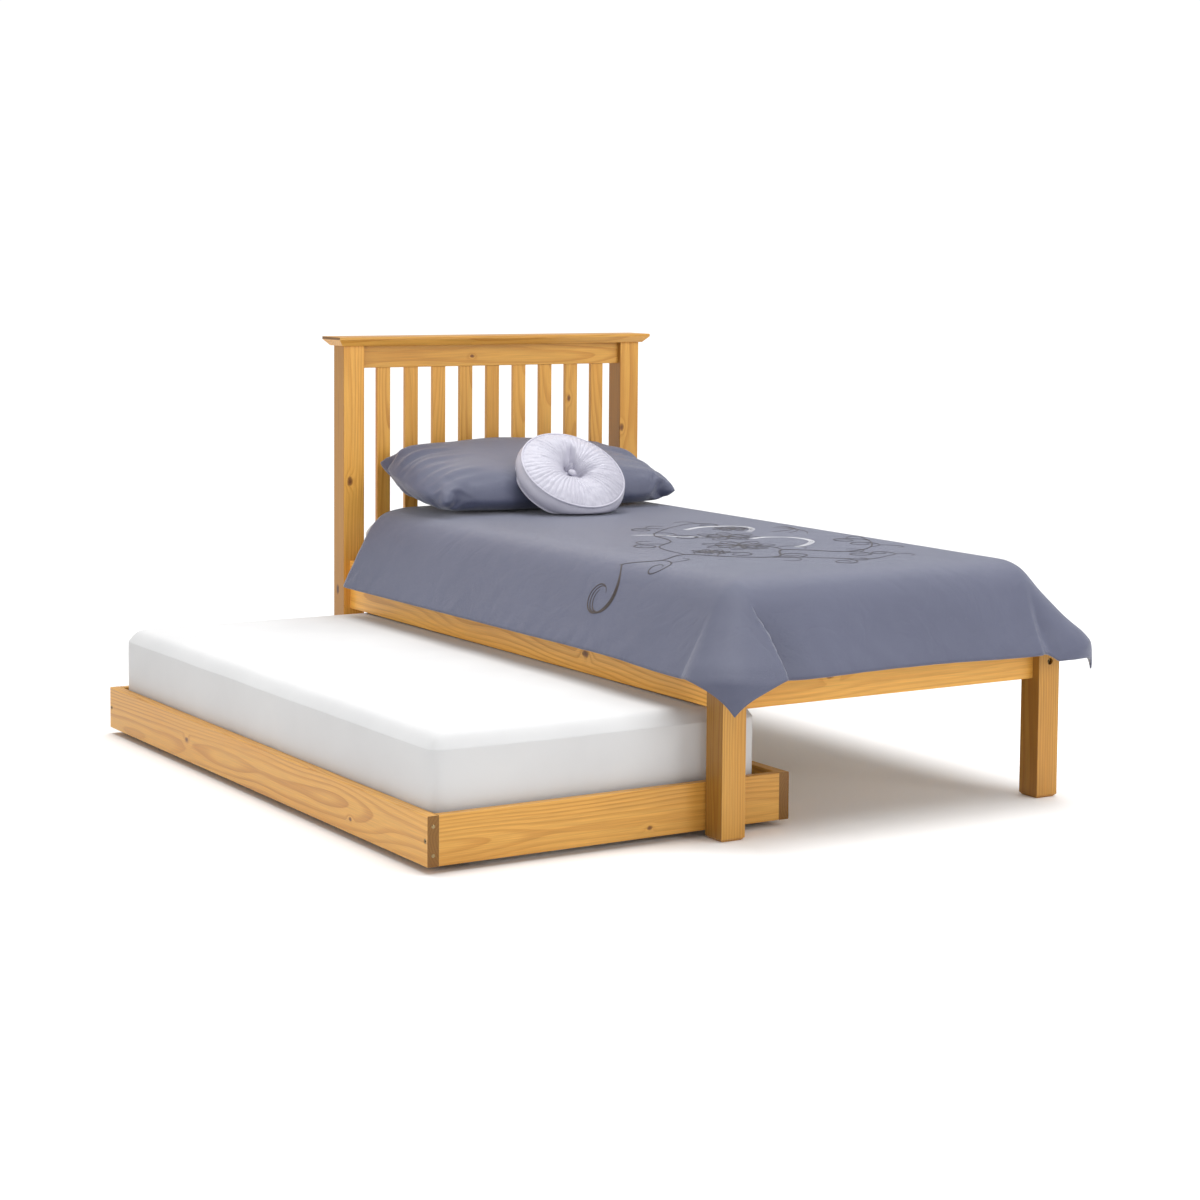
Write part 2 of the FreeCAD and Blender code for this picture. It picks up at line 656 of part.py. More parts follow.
def castor_wheel(number, side, end):
    """A plain castor wheel, turned from one profile: bore, hub, and a tread with rounded edges."""
    body = new_body(f"castor_wheel_{number}")
    profile = new_sketch(body, "XY_Plane", "wheel_profile")
    inner = "(axle_radius + axle_play)"
    hub = "(wheel_width / 2 + 1)"
    rim = "(wheel_width / 2)"
    edge = "(wheel_radius - wheel_round)"
    web = "(wheel_width / 2 - wheel_dish)"
    lip = "(wheel_radius - wheel_round - wheel_dish / 2)"
    dish = "(wheel_radius - wheel_round - 3 * wheel_dish / 2)"
    add_loop(profile, (
        (inner, f"-{hub}"), ("hub_radius", f"-{hub}"), ("hub_radius", f"-{web}"),
        (dish, f"-{web}"), (lip, f"-{rim}"), (edge, f"-{rim}"),
        ("wheel_radius", f"-{rim} + wheel_round"), ("wheel_radius", f"{rim} - wheel_round"),
        (edge, rim), (lip, rim), (dish, web), ("hub_radius", web), ("hub_radius", hub), (inner, hub)))
    turn = body.newObject("PartDesign::Revolution", "wheel_turned")
    turn.Profile = profile
    turn.ReferenceAxis = (profile, ["V_Axis"])
    turn.Angle = 360
    stand(body, f"{TRUNDLE_MID} + {side} * {CASTOR_X}", f"{end} * {CASTOR_Y}", "wheel_radius")


def castor_fork(number, side, end):
    """A pressed steel fork: a top plate with screw holes and two cheeks that carry the axle."""
    body = new_body(f"castor_fork_{number}")
    outline = new_sketch(body, "YZ_Plane", "fork_outline")
    outer = "(fork_gap / 2 + fork_sheet)"
    inner = "(fork_gap / 2)"
    top = "(fork_top - wheel_radius)"
    low = "(-fork_nose)"
    under = f"({top} - fork_sheet)"
    add_loop(outline, ((f"-{outer}", low), (f"-{inner}", low), (f"-{inner}", under),
                       (inner, under), (inner, low), (outer, low), (outer, top), (f"-{outer}", top)))
    pad = body.newObject("PartDesign::Pad", "fork_pad")
    pad.Profile = outline
    pad.Midplane = True
    bind(pad, Length="fork_length")
    dress(body, "Fillet", "fork_nose - 1", lambda e: e.BoundBox.ZMax < -size("fork_nose") + 1
          and runs_along(e, "y"))
    block(body, "fork_plate_width", f"2 * {outer}", "fork_sheet", "-fork_plate_width / 2", f"-{outer}",
          under)
    bore(body, "axle_radius + axle_play / 2", f"2 * {outer}", "0", f"-{outer}", "0", "y")
    for reach in (-1, 1):
        for hand in (-1, 1):
            bore(body, "screw_radius + screw_play", "fork_sheet", f"{reach} * {PLATE_SCREW_X}",
                 f"{hand} * fork_gap / 3", under, "z")
    bind(body, Placement__Base__x=f"{side} * {CASTOR_X}", Placement__Base__y=f"{end} * {CASTOR_Y}")
    return body


def castor_axle(number, side, end):
    """A riveted axle with a head outside each cheek."""
    outer = "(fork_gap / 2 + fork_sheet)"
    pin = cylinder(f"axle_pin_{number}", "axle_radius", f"2 * {outer}", "0", f"-{outer}", "0", "y")
    heads = [cylinder(f"axle_head_{number}", "axle_head_radius", "axle_head_height", "0", y, "0", "y")
             for y in (f"-{outer} - axle_head_height", outer)]
    axle = fused(f"castor_axle_{number}", [pin, *heads])
    return bind(axle, Placement__Base__x=f"{side} * {CASTOR_X}", Placement__Base__y=f"{end} * {CASTOR_Y}")


def castor_block(number, side, end):
    """A pine block in the trundle's corner, under the slats, that a castor is screwed to."""
    body = new_body(f"castor_block_{number}")
    block(body, "block_length", "block_width", "block_thick", "-block_length / 2", "-block_width / 2")
    dress(body, "Fillet", "edge_ease", lambda e: e.BoundBox.ZMax < 1)
    for reach in (-1, 1):
        for hand in (-1, 1):
            bore(body, "screw_radius + screw_play", "castor_screw_length",
                 f"{reach} * {PLATE_SCREW_X}", f"{hand} * fork_gap / 3", "0", "z")
    bind(body, Placement__Base__x=f"{side} * {CASTOR_X}", Placement__Base__y=f"{end} * {CASTOR_Y}")
    return body


def castors(screws):
    forks = []
    axles = []
    blocks = []
    for number, (side, end) in enumerate(castor_places(), start=1):
        castor_wheel(number, side, end)
        forks.append(castor_fork(number, side, end))
        axles.append(castor_axle(number, side, end))
        blocks.append(castor_block(number, side, end))
        for reach in (-1, 1):
            for hand in (-1, 1):
                x = f"{TRUNDLE_MID} + {side} * {CASTOR_X} + {reach} * {PLATE_SCREW_X}"
                y = f"{end} * {CASTOR_Y} + {hand} * fork_gap / 3"
                name = f"castor_screw_{len(screws)}"
                head = cylinder(name + "_head", "screw_head_radius", "screw_head_height / 2", x, y,
                                "fork_top - fork_sheet - screw_head_height / 2")
                shank = cylinder(name + "_shank", "screw_radius", "castor_screw_length", x, y,
                                 "fork_top - fork_sheet")
                screws.append(fused(name, [head, shank]))
    stand(copies("castor_blocks", blocks), TRUNDLE_MID, "0", "fork_top")
    stand(copies("castor_forks", forks), TRUNDLE_MID, "0", "wheel_radius")
    stand(copies("castor_axles", axles), TRUNDLE_MID, "0", "wheel_radius")


# ---------------------------------------------------------------- bedding

def mattress(name, width, length, thick, x, y, z):
    body = new_body(name)
    block(body, width, length, thick, f"-{width} / 2", f"-{length} / 2")
    dress(body, "Fillet", "mattress_corner", lambda e: runs_along(e, "z"))
    dress(body, "Fillet", "mattress_round", lambda e: not runs_along(e, "z"))
    stand(body, x, y, z)


def ring(half_x, foot, head, level):
    corners = ((-half_x, -foot), (half_x, -foot), (half_x, head), (-half_x, head))
    points = [FreeCAD.Vector(x, y, level) for x, y in corners]
    return Part.makePolygon(points + points[:1])


def duvet():
    """The duvet: a filled top and three thin sides that splay out over the rails, open at the
    head end, with a hanging tip at each foot corner."""
    top, hem, skin = size("duvet_top"), size("duvet_hem"), size("duvet_sheet")
    head = size("duvet_head")
    half_top, half_hem = size("duvet_half_top"), size("duvet_half_hem")
    foot_top, foot_hem = size("duvet_foot_top"), size("duvet_foot_hem")
    outer = Part.makeLoft([ring(half_hem, foot_hem, head, hem), ring(half_top, foot_top, head, top)], True)
    brow = [e for e in outer.Edges if e.BoundBox.ZMin > top - 1 and e.BoundBox.YMin < head - 1]
    outer = outer.makeFillet(size("duvet_round"), brow)
    ceiling = top - size("duvet_filling")
    drop = (top - ceiling) / (top - hem)
    half_ceiling = half_top + (half_hem - half_top) * drop - skin
    foot_ceiling = foot_top + (foot_hem - foot_top) * drop - skin
    beyond = head + skin
    below = hem - 1
    inner = Part.makeLoft([ring(half_hem - skin, foot_hem - skin, beyond, below),
                           ring(half_ceiling, foot_ceiling, beyond, ceiling)], True)
    cloth = outer.cut(inner)
    spread, reach = size("duvet_tip_spread"), size("duvet_tip_reach")
    for side in (-1, 1):
        root = [FreeCAD.Vector(side * half_hem, -foot_hem + spread, hem),
                FreeCAD.Vector(side * half_hem, -foot_hem, hem),
                FreeCAD.Vector(side * (half_hem - spread), -foot_hem, hem)]
        tip = FreeCAD.Vector(side * (half_hem + reach), -foot_hem - reach, hem - size("duvet_tip_hang"))
        faces = [Part.Face(Part.makePolygon(root + root[:1]))]
        for i in range(3):
            corner = [root[i], root[(i + 1) % 3], tip]
            faces.append(Part.Face(Part.makePolygon(corner + corner[:1])))
        hanging = Part.makeSolid(Part.makeShell(faces))
        if hanging.Volume < 0:
            hanging.reverse()
        cloth = cloth.fuse(hanging)
    item = doc.addObject("Part::Feature", "duvet")
    item.Label = "duvet"
    item.Shape = cloth.removeSplitter()
    stand(item, "0", "0", "0")


def pillow():
    body = new_body("pillow")
    outline = new_sketch(body, "YZ_Plane", "pillow_outline")
    half_y = "(pillow_depth / 2)"
    half_z = "(pillow_thick / 2)"
    add_loop(outline, ((f"-{half_y}", f"-{half_z}"), (half_y, f"-{half_z}"),
                       (half_y, half_z), (f"-{half_y}", half_z)))
    pad = body.newObject("PartDesign::Pad", "pillow_pad")
    pad.Profile = outline
    pad.Midplane = True
    bind(pad, Length="pillow_width")
    dress(body, "Fillet", "pillow_round", lambda e: True)
    body.Placement = FreeCAD.Placement(
        FreeCAD.Vector(), FreeCAD.Rotation(FreeCAD.Vector(1, 0, 0), size("pillow_slope")))
    stand(body, "pillow_off", "pillow_back", "pillow_rise")


def round_cushion():
    """A round cushion with a covered button in the middle of its face."""
    tilt = FreeCAD.Rotation(FreeCAD.Vector(1, 0, 0), size("cushion_slope"))
    for name, radius, height, rounding, lift in (
            ("round_cushion", "cushion_radius", "cushion_thick", "cushion_round", "0"),
            ("cushion_button", "button_radius", "button_height", "button_height / 2.5",
             f"cushion_thick / 2 + button_height / 2 + {SOFT_GAP}")):
        body = new_body(name)
        pad = body.newObject("PartDesign::AdditiveCylinder", name + "_pad")
        bind(pad, Radius=radius, Height=height)
        put(pad, "0", "0", f"{lift} - {height} / 2")
        dress(body, "Fillet", rounding, lambda e: e.Closed)
        body.Placement = FreeCAD.Placement(FreeCAD.Vector(), tilt)
        stand(body, "0", "cushion_back", "cushion_rise")


# ---------------------------------------------------------------- assembly

headboard()
headboard_cap()
foot_end()
side_rail("side_rail_left", -1)
side_rail("side_rail_right", 1)
slatted_base()
frame_fasteners()
trundle_frame()
trundle_screw_list = []
trundle_slats(trundle_screw_list)
castors(trundle_screw_list)
stand(copies("trundle_screws", trundle_screw_list), "0", "0", "0")
mattress("mattress", "mattress_width", "mattress_length", "mattress_thick", "0", "-2.5", BASE_TOP)
mattress("trundle_mattress", "trundle_mattress_width", "trundle_mattress_length",
         "trundle_mattress_thick",
         f"{TRUNDLE_OUT} + trundle_rail_thick + mattress_gap + trundle_mattress_width / 2", "0",
         TRUNDLE_TOP)
duvet()
pillow()
round_cushion()
doc.recompute()

for item in doc.Objects:
    if "Invalid" in item.State or "Error" in item.State:
        raise RuntimeError(f"{item.Label} failed: {item.State}")
os.makedirs("parts", exist_ok=True)
for item in NODES:
    shape = item.Shape
    if shape.isNull() or not shape.isValid() or shape.Volume <= 0:
        raise RuntimeError(f"{item.Label} has no sound shape")
    shape.exportStep(os.path.join("parts", item.Label + ".step"))
whole = Part.makeCompound([item.Shape for item in NODES]).BoundBox
print(len(NODES), "nodes, box", whole)
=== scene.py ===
import math
import random

import bmesh
import bpy
from mathutils import Matrix, Vector, noise
from mathutils.bvhtree import BVHTree


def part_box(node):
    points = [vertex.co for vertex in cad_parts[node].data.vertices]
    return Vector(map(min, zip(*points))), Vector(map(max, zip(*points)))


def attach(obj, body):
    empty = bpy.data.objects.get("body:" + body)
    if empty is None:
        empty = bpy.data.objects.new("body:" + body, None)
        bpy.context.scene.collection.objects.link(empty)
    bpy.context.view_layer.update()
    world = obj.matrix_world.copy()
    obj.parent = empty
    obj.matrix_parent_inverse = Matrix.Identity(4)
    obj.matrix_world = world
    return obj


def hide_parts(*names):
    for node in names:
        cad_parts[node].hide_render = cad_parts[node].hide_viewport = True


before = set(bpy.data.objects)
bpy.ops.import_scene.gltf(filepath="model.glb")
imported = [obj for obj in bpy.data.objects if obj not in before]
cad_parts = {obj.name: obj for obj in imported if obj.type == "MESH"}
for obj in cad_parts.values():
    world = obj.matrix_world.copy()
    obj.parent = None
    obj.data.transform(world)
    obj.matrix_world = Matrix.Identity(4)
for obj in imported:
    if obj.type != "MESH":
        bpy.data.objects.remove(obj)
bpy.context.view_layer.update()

# A pine single bed with its trundle pulled out, dressed for a guest room.
# Everything is in metres, in the frame's own axes: +X across the bed and away from the trundle,
# +Y towards the headboard, +Z up.


def corners(node):
    lo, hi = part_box(node)
    return Vector(lo), Vector(hi)


CAP_LO, CAP_HI = corners("headboard_cap")
FOOT_LO = corners("foot_leg_left")[0]
HEAD_HI = corners("headboard_post_left")[1]
BED = Vector(((CAP_LO.x + CAP_HI.x) / 2, (FOOT_LO.y + HEAD_HI.y) / 2, 0.0))


def at(x, y, z):
    """A point measured in metres from the middle of the bed, on the floor."""
    return BED + Vector((x, y, z))


# ---- camera, floor and light

CAMERA_FROM_BED = (-3.750, -5.6719, 1.337)
CAMERA_YAW = 0.5574
CAMERA_PITCH = 0.0779
CAMERA_ROLL = 0.0080
CAMERA_LENS = 76.2
CAMERA_SHIFT_Y = -0.125

FLOOR_REACH = 90.0
FLOOR_GREY = 0.94
WHITE = (1.0, 1.0, 1.0, 1.0)
WORLD_FILL = 0.50
WORLD_SEEN = 1.05
SUN_TOWARDS = (0.10, 0.30, 1.0)
SUN_STRENGTH = 2.35
SUN_SPREAD = math.radians(44)
# each lamp: its name, where it is and what it is aimed at, from the bed's middle, then its
# width, height and watts
LAMPS = (("front_right", (2.6, -6.0, 2.4), (0.0, 0.0, 0.4), 2.6, 2.2, 78.0),
         ("headboard_fill", (0.9, -1.5, 2.7), (-0.1, 1.0, 0.7), 1.8, 1.2, 34.0),
         ("left_low", (-4.6, -1.6, 0.9), (-1.0, 0.0, 0.1), 2.0, 1.0, 19.0),
         ("rail_fill", (-1.15, 0.0, 0.75), (-0.5, 0.0, 0.34), 1.9, 0.2, 2.2))


def make_camera():
    data = bpy.data.cameras.new("camera")
    data.lens = CAMERA_LENS
    data.sensor_width = 36.0
    data.shift_y = CAMERA_SHIFT_Y
    data.clip_start = 0.05
    data.clip_end = 200.0
    camera = bpy.data.objects.new("camera", data)
    turn = (Matrix.Rotation(-CAMERA_YAW, 4, "Z")
            @ Matrix.Rotation(math.pi / 2 - CAMERA_PITCH, 4, "X")
            @ Matrix.Rotation(CAMERA_ROLL, 4, "Z"))
    camera.matrix_world = Matrix.Translation(at(*CAMERA_FROM_BED)) @ turn
    bpy.context.collection.objects.link(camera)
    bpy.context.scene.camera = camera


def add_lamp(name, kind, power, place, towards):
    """A lamp at a place, shining the way given."""
    data = bpy.data.lights.new(name, kind)
    data.energy = power
    lamp = bpy.data.objects.new(name, data)
    lamp.location = place
    lamp.rotation_mode = "QUATERNION"
    lamp.rotation_quaternion = towards.to_track_quat("-Z", "Y")
    bpy.context.collection.objects.link(lamp)
    return data


def make_studio():
    """White all round, a broad sun that is even over the whole floor, and four softer lamps."""
    world = bpy.data.worlds.new("studio")
    bpy.context.scene.world = world
    world.use_nodes = True
    tree = world.node_tree
    tree.nodes.clear()
    fill, seen = [add(tree, "Background", WHITE, power).outputs[0] for power in (WORLD_FILL, WORLD_SEEN)]
    ray = add(tree, "LightPath").outputs["Is Camera Ray"]
    add(tree, "OutputWorld", add(tree, "MixShader", ray, fill, seen).outputs[0])

    sun = add_lamp("overhead", "SUN", SUN_STRENGTH, (0.0, 0.0, 0.0), -Vector(SUN_TOWARDS))
    sun.angle = SUN_SPREAD
    for name, place, aim, width, height, power in LAMPS:
        lamp = add_lamp(name, "AREA", power, at(*place), at(*aim) - at(*place))
        lamp.shape = "RECTANGLE"
        lamp.size = width
        lamp.size_y = height

    view = bpy.context.scene.view_settings
    view.view_transform = "Standard"
    view.look = "None"
    view.exposure = 0.0
    view.gamma = 1.0


def make_floor():
    """A pale floor, wide enough to meet the white beyond it at the horizon."""
    bm = bmesh.new()
    bm.faces.new([bm.verts.new((FLOOR_REACH * x, FLOOR_REACH * y, 0.0))
                  for x, y in ((-1, -1), (1, -1), (1, 1), (-1, 1))])
    floor = mesh_object("studio_floor", bm)
    shader = new_material("floor_paint", 0.9, specular=0.1)[1]
    shader.inputs["Base Color"].default_value = (FLOOR_GREY, FLOOR_GREY, FLOOR_GREY, 1.0)
    floor.data.materials.append(bpy.data.materials["floor_paint"])


# ---- small helpers

def mesh_object(name, bm):
    mesh = bpy.data.meshes.new(name)
    bm.normal_update()
    bm.to_mesh(mesh)
    bm.free()
    piece = bpy.data.objects.new(name, mesh)
    bpy.context.collection.objects.link(piece)
    return piece


def dress(piece, material):
    """Shade a piece smoothly, in its own material."""
    piece.data.polygons.foreach_set("use_smooth", [True] * len(piece.data.polygons))
    piece.data.update()
    piece.data.materials.append(material)


def turns(steps):
    """The angles of a full turn, in equal steps."""
    return [2 * math.pi * n / steps for n in range(steps)]


def joined(name, bm, rings, closed=False):
    """A piece made of closed rings of vertices, each joined to the next, and capped unless closed."""
    for near, far in zip(rings, rings[1:] + rings[:1] if closed else rings[1:]):
        bridge(bm, near, far)
    if not closed:
        bm.faces.new(rings[0])
        bm.faces.new(rings[-1][::-1])
    bmesh.ops.recalc_face_normals(bm, faces=bm.faces)
    return mesh_object(name, bm)


def bridge(bm, near, far):
    """A band of faces between two rings with as many vertices."""
    for n in range(len(near)):
        e = (n + 1) % len(near)
        bm.faces.new((near[n], far[n], far[e], near[e]))


def evaluated_mesh(piece):
    graph = bpy.context.evaluated_depsgraph_get()
    return bpy.data.meshes.new_from_object(piece.evaluated_get(graph))


def swap_mesh(piece, mesh):
    """Give a piece a new mesh and drop the modifiers that made it."""
    piece.modifiers.clear()
    piece.data = mesh


def subdivide(piece, levels):
    """Round a mesh off with subdivision, and keep the result as its mesh."""
    modifier = piece.modifiers.new("round", "SUBSURF")
    modifier.levels = levels
    modifier.render_levels = levels
    swap_mesh(piece, evaluated_mesh(piece))


def lerp(a, b, t):
    return a + (b - a) * t


def ramp(x, start, end):
    """0 before start, 1 after end, and a smooth step between."""
    t = min(1.0, max(0.0, (x - start) / (end - start)))
    return t * t * (3 - 2 * t)


def soft_floor(value, limit, softness):
    """value, held above limit with a rounded join."""
    d = value - limit
    return limit + (d + math.sqrt(d * d + softness * softness)) / 2


def ripple(x, y, z, seed):
    return noise.noise(Vector((x + seed * 13.7, y - seed * 7.1, z + seed * 3.3)))


# ---- shader helpers

def new_material(name, roughness, specular=0.5):
    material = bpy.data.materials.new(name)
    material.use_nodes = True
    tree = material.node_tree
    shader = tree.nodes["Principled BSDF"]
    shader.inputs["Roughness"].default_value = roughness
    shader.inputs["Specular IOR Level"].default_value = specular
    return tree, shader


def add(tree, kind, *inputs, **settings):
    """A node, its settings, and its inputs in order: each a socket, a value, or None."""
    node = tree.nodes.new("ShaderNode" + kind)
    for key, value in settings.items():
        setattr(node, key, value)
    for slot, value in enumerate(inputs):
        if value is None:
            continue
        if isinstance(value, bpy.types.NodeSocket):
            tree.links.new(value, node.inputs[slot])
        else:
            node.inputs[slot].default_value = value
    return node


def maths(tree, operation, *inputs, clamp=False):
    return add(tree, "Math", *inputs, operation=operation, use_clamp=clamp).outputs[0]


def vector_maths(tree, operation, *inputs):
    node = add(tree, "VectorMath", *inputs, operation=operation)
    return node.outputs["Value"] if operation in ("LENGTH", "DOT_PRODUCT") else node.outputs[0]


def noise_at(tree, vector, scale, detail=2.0, rough=0.5, distort=0.0):
    node = tree.nodes.new("ShaderNodeTexNoise")
    tree.links.new(vector, node.inputs["Vector"])
    node.inputs["Scale"].default_value = scale
    node.inputs["Detail"].default_value = detail
    node.inputs["Roughness"].default_value = rough
    node.inputs["Distortion"].default_value = distort
    return node


def scaled(tree, vector, x, y, z):
    return vector_maths(tree, "MULTIPLY", vector, (x, y, z))


def to_range(tree, value, low, high, from_low=0.0, from_high=1.0):
    node = add(tree, "MapRange", value, from_low, from_high, low, high)
    node.clamp = True
    return node.outputs[0]


def mixed(tree, factor, a, b, blend="MIX"):
    node = tree.nodes.new("ShaderNodeMix")
    node.data_type = "RGBA"
    node.blend_type = blend
    for slot, value in ((0, factor), (6, a), (7, b)):
        if isinstance(value, bpy.types.NodeSocket):
            tree.links.new(value, node.inputs[slot])
        else:
            node.inputs[slot].default_value = value
    return node.outputs[2]


def bump(tree, shader, height, distance, strength=1.0, under=None):
    node = tree.nodes.new("ShaderNodeBump")
    node.inputs["Strength"].default_value = strength
    node.inputs["Distance"].default_value = distance
    tree.links.new(height, node.inputs["Height"])
    if under is not None:
        tree.links.new(under, node.inputs["Normal"])
    tree.links.new(node.outputs[0], shader.inputs["Normal"])
    return node.outputs[0]


def object_point(tree):
    return tree.nodes.new("ShaderNodeTexCoord").outputs["Object"]


def wire(tree, value, shader, name):
    tree.links.new(value, shader.inputs[name])


# ---- wood

# the axes' order that puts the grain's own first
GRAIN_FIRST = {"x": (0, 1, 2), "y": (1, 2, 0), "z": (2, 0, 1)}
RING_PITCH = 0.0062
# where in a year's ring the dark late wood comes, as (place, strength)
YEAR = ((0.0, 0.10), (0.40, 0.05), (0.80, 0.75), (0.92, 0.95), (1.0, 0.10))
THIN_BOARD = 0.03
MIDDLE_GREY = (0.5, 0.5, 0.5)
EARLY_WOOD = (0.700, 0.365, 0.074, 1.0)
LATE_WOOD = (0.460, 0.180, 0.024, 1.0)
AMBER = (0.540, 0.235, 0.034, 1.0)
KNOT_RIM = (0.230, 0.085, 0.020, 1.0)
KNOT_CORE = (0.120, 0.045, 0.014, 1.0)
END_GRAIN = (0.22, 0.17, 0.07, 1.0)
BARE_EARLY = (0.700, 0.500, 0.270, 1.0)
BARE_LATE = (0.520, 0.320, 0.140, 1.0)


def along_grain(tree, axis):
    """The object's own point with the grain's direction first, and how far a face is end grain."""
    coords = tree.nodes.new("ShaderNodeTexCoord")
    split = add(tree, "SeparateXYZ", coords.outputs["Object"])
    facing = add(tree, "SeparateXYZ", coords.outputs["Normal"])
    order = GRAIN_FIRST[axis]
    point = add(tree, "CombineXYZ", *[split.outputs[i] for i in order]).outputs[0]
    end = maths(tree, "ABSOLUTE", facing.outputs[order[0]])
    return point, to_range(tree, end, 0.0, 1.0, 0.75, 0.97)


def pine(name, axis, seed, low, high, knots=(), tone_and_light=1.0, bare=False, left_painted_shade=1.0):
    """Pine cut from its own place in a log, with its rings bent round its knots."""
    order = GRAIN_FIRST[axis]
    draw = random.Random(seed * 977 + 5)
    middle = [(low[i] + high[i]) / 2 for i in order]
    tree, shader = new_material("wood_" + name, 0.4, 0.3)
    point, end = along_grain(tree, axis)
    centred = vector_maths(tree, "SUBTRACT", point, tuple(middle))
    shifted = vector_maths(tree, "ADD", centred, (seed * 3.7, seed * 1.3, seed * 2.9))

    # the log's pith runs nearly parallel to the board, off to one side of it
    away = draw.uniform(0.035, 0.085)
    turn = draw.uniform(0, 2 * math.pi)
    wide, tall = [high[i] - low[i] for i in order[1:]]
    if min(wide, tall) < THIN_BOARD:
        turn = (0.0 if wide < THIN_BOARD else math.pi / 2) + draw.uniform(-0.5, 0.5)
        away = draw.uniform(0.03, 0.075)
    pith = (0.0, away * math.cos(turn), away * math.sin(turn))
    lean = (draw.uniform(-0.03, 0.03), draw.uniform(-0.03, 0.03))
    wave = noise_at(tree, scaled(tree, shifted, 1.1, 5.0, 5.0), 1.0, 2.0, 0.45)
    wander = scaled(tree, vector_maths(tree, "SUBTRACT", wave.outputs["Color"], MIDDLE_GREY),
                    0.0, 0.060, 0.060)
    along = add(tree, "SeparateXYZ", centred).outputs[0]
    leaning = add(tree, "CombineXYZ", 0.0, maths(tree, "MULTIPLY", along, lean[0]),
                  maths(tree, "MULTIPLY", along, lean[1])).outputs[0]
    flat = scaled(tree, vector_maths(tree, "SUBTRACT", centred, pith), 0.0, 1.0, 1.0)
    spoke = vector_maths(tree, "ADD", vector_maths(tree, "ADD", flat, leaning), wander)
    radius = vector_maths(tree, "LENGTH", spoke)

    dark_rim = None
    for place, size in knots:
        spot = tuple(lerp(low[i], high[i], place[i]) - middle[n] for n, i in enumerate(order))
        gap = vector_maths(tree, "SUBTRACT", centred, spot)
        gap = scaled(tree, gap, 0.62 / size, 1.0 / size, 1.0 / size)
        rough = noise_at(tree, shifted, 90.0).outputs["Color"]
        rough = scaled(tree, vector_maths(tree, "SUBTRACT", rough, MIDDLE_GREY), 0.7, 0.7, 0.7)
        reach = vector_maths(tree, "LENGTH", vector_maths(tree, "ADD", gap, rough))
        swirl = to_range(tree, reach, 1.0, 0.0, 0.3, 3.6)
        swirl = maths(tree, "MULTIPLY", maths(tree, "MULTIPLY", swirl, swirl), size * 1.5)
        radius = maths(tree, "ADD", radius, swirl)
        rim = to_range(tree, reach, 1.0, 0.0, 0.75, 1.15)
        core = to_range(tree, reach, 1.0, 0.0, 0.30, 0.75)
        dark_rim = [rim, core] if dark_rim is None else [
            maths(tree, "MAXIMUM", dark_rim[0], rim), maths(tree, "MAXIMUM", dark_rim[1], core)]

    slow = noise_at(tree, scaled(tree, shifted, 0.7, 14.0, 14.0), 1.0, 1.0)
    pitch = RING_PITCH * draw.uniform(0.85, 1.25)
    rings = maths(tree, "DIVIDE", radius, pitch)
    rings = maths(tree, "ADD", rings, maths(tree, "MULTIPLY", slow.outputs["Fac"], 1.3))
    year = maths(tree, "FRACT", rings)
    late = tree.nodes.new("ShaderNodeValToRGB")
    late.color_ramp.interpolation = "EASE"
    for n, (place, grey) in enumerate(YEAR):
        element = late.color_ramp.elements[n] if n < 2 else late.color_ramp.elements.new(place)
        element.position = place
        element.color = (grey, grey, grey, 1.0)
    tree.links.new(year, late.inputs[0])
    uneven = noise_at(tree, scaled(tree, shifted, 1.2, 9.0, 9.0), 1.0, 1.0)
    strength = to_range(tree, uneven.outputs["Fac"], 0.25, 0.85, 0.3, 0.7)
    line = maths(tree, "MULTIPLY", late.outputs[0], strength)

    fibre = noise_at(tree, scaled(tree, shifted, 9.0, 420.0, 420.0), 1.0, 3.0, 0.6)
    patch = noise_at(tree, scaled(tree, shifted, 1.6, 11.0, 11.0), 1.0, 2.0, 0.5, 0.4)
    early_colour, late_colour = (BARE_EARLY, BARE_LATE) if bare else (EARLY_WOOD, LATE_WOOD)
    colour = mixed(tree, line, early_colour, late_colour)
    if not bare:
        warm = to_range(tree, patch.outputs["Fac"], 0.0, 0.55, 0.42, 0.75)
        colour = mixed(tree, warm, colour, AMBER)
    streak = to_range(tree, fibre.outputs["Fac"], 0.86, 1.10, 0.3, 0.7)
    # the board's brightness scale, its own tone together with painted light on some boards, sets the
    # patches' range
    patched = to_range(tree, patch.outputs["Fac"], 0.93 * tone_and_light, 1.06 * tone_and_light)
    shade = maths(tree, "MULTIPLY", streak, patched)
    grey = add(tree, "CombineColor", shade, shade, shade).outputs[0]
    colour = mixed(tree, 1.0, colour, grey, "MULTIPLY")
    if dark_rim is not None:
        colour = mixed(tree, maths(tree, "MULTIPLY", dark_rim[0], 0.85), colour, KNOT_RIM)
        colour = mixed(tree, maths(tree, "MULTIPLY", dark_rim[1], 0.75), colour, KNOT_CORE)
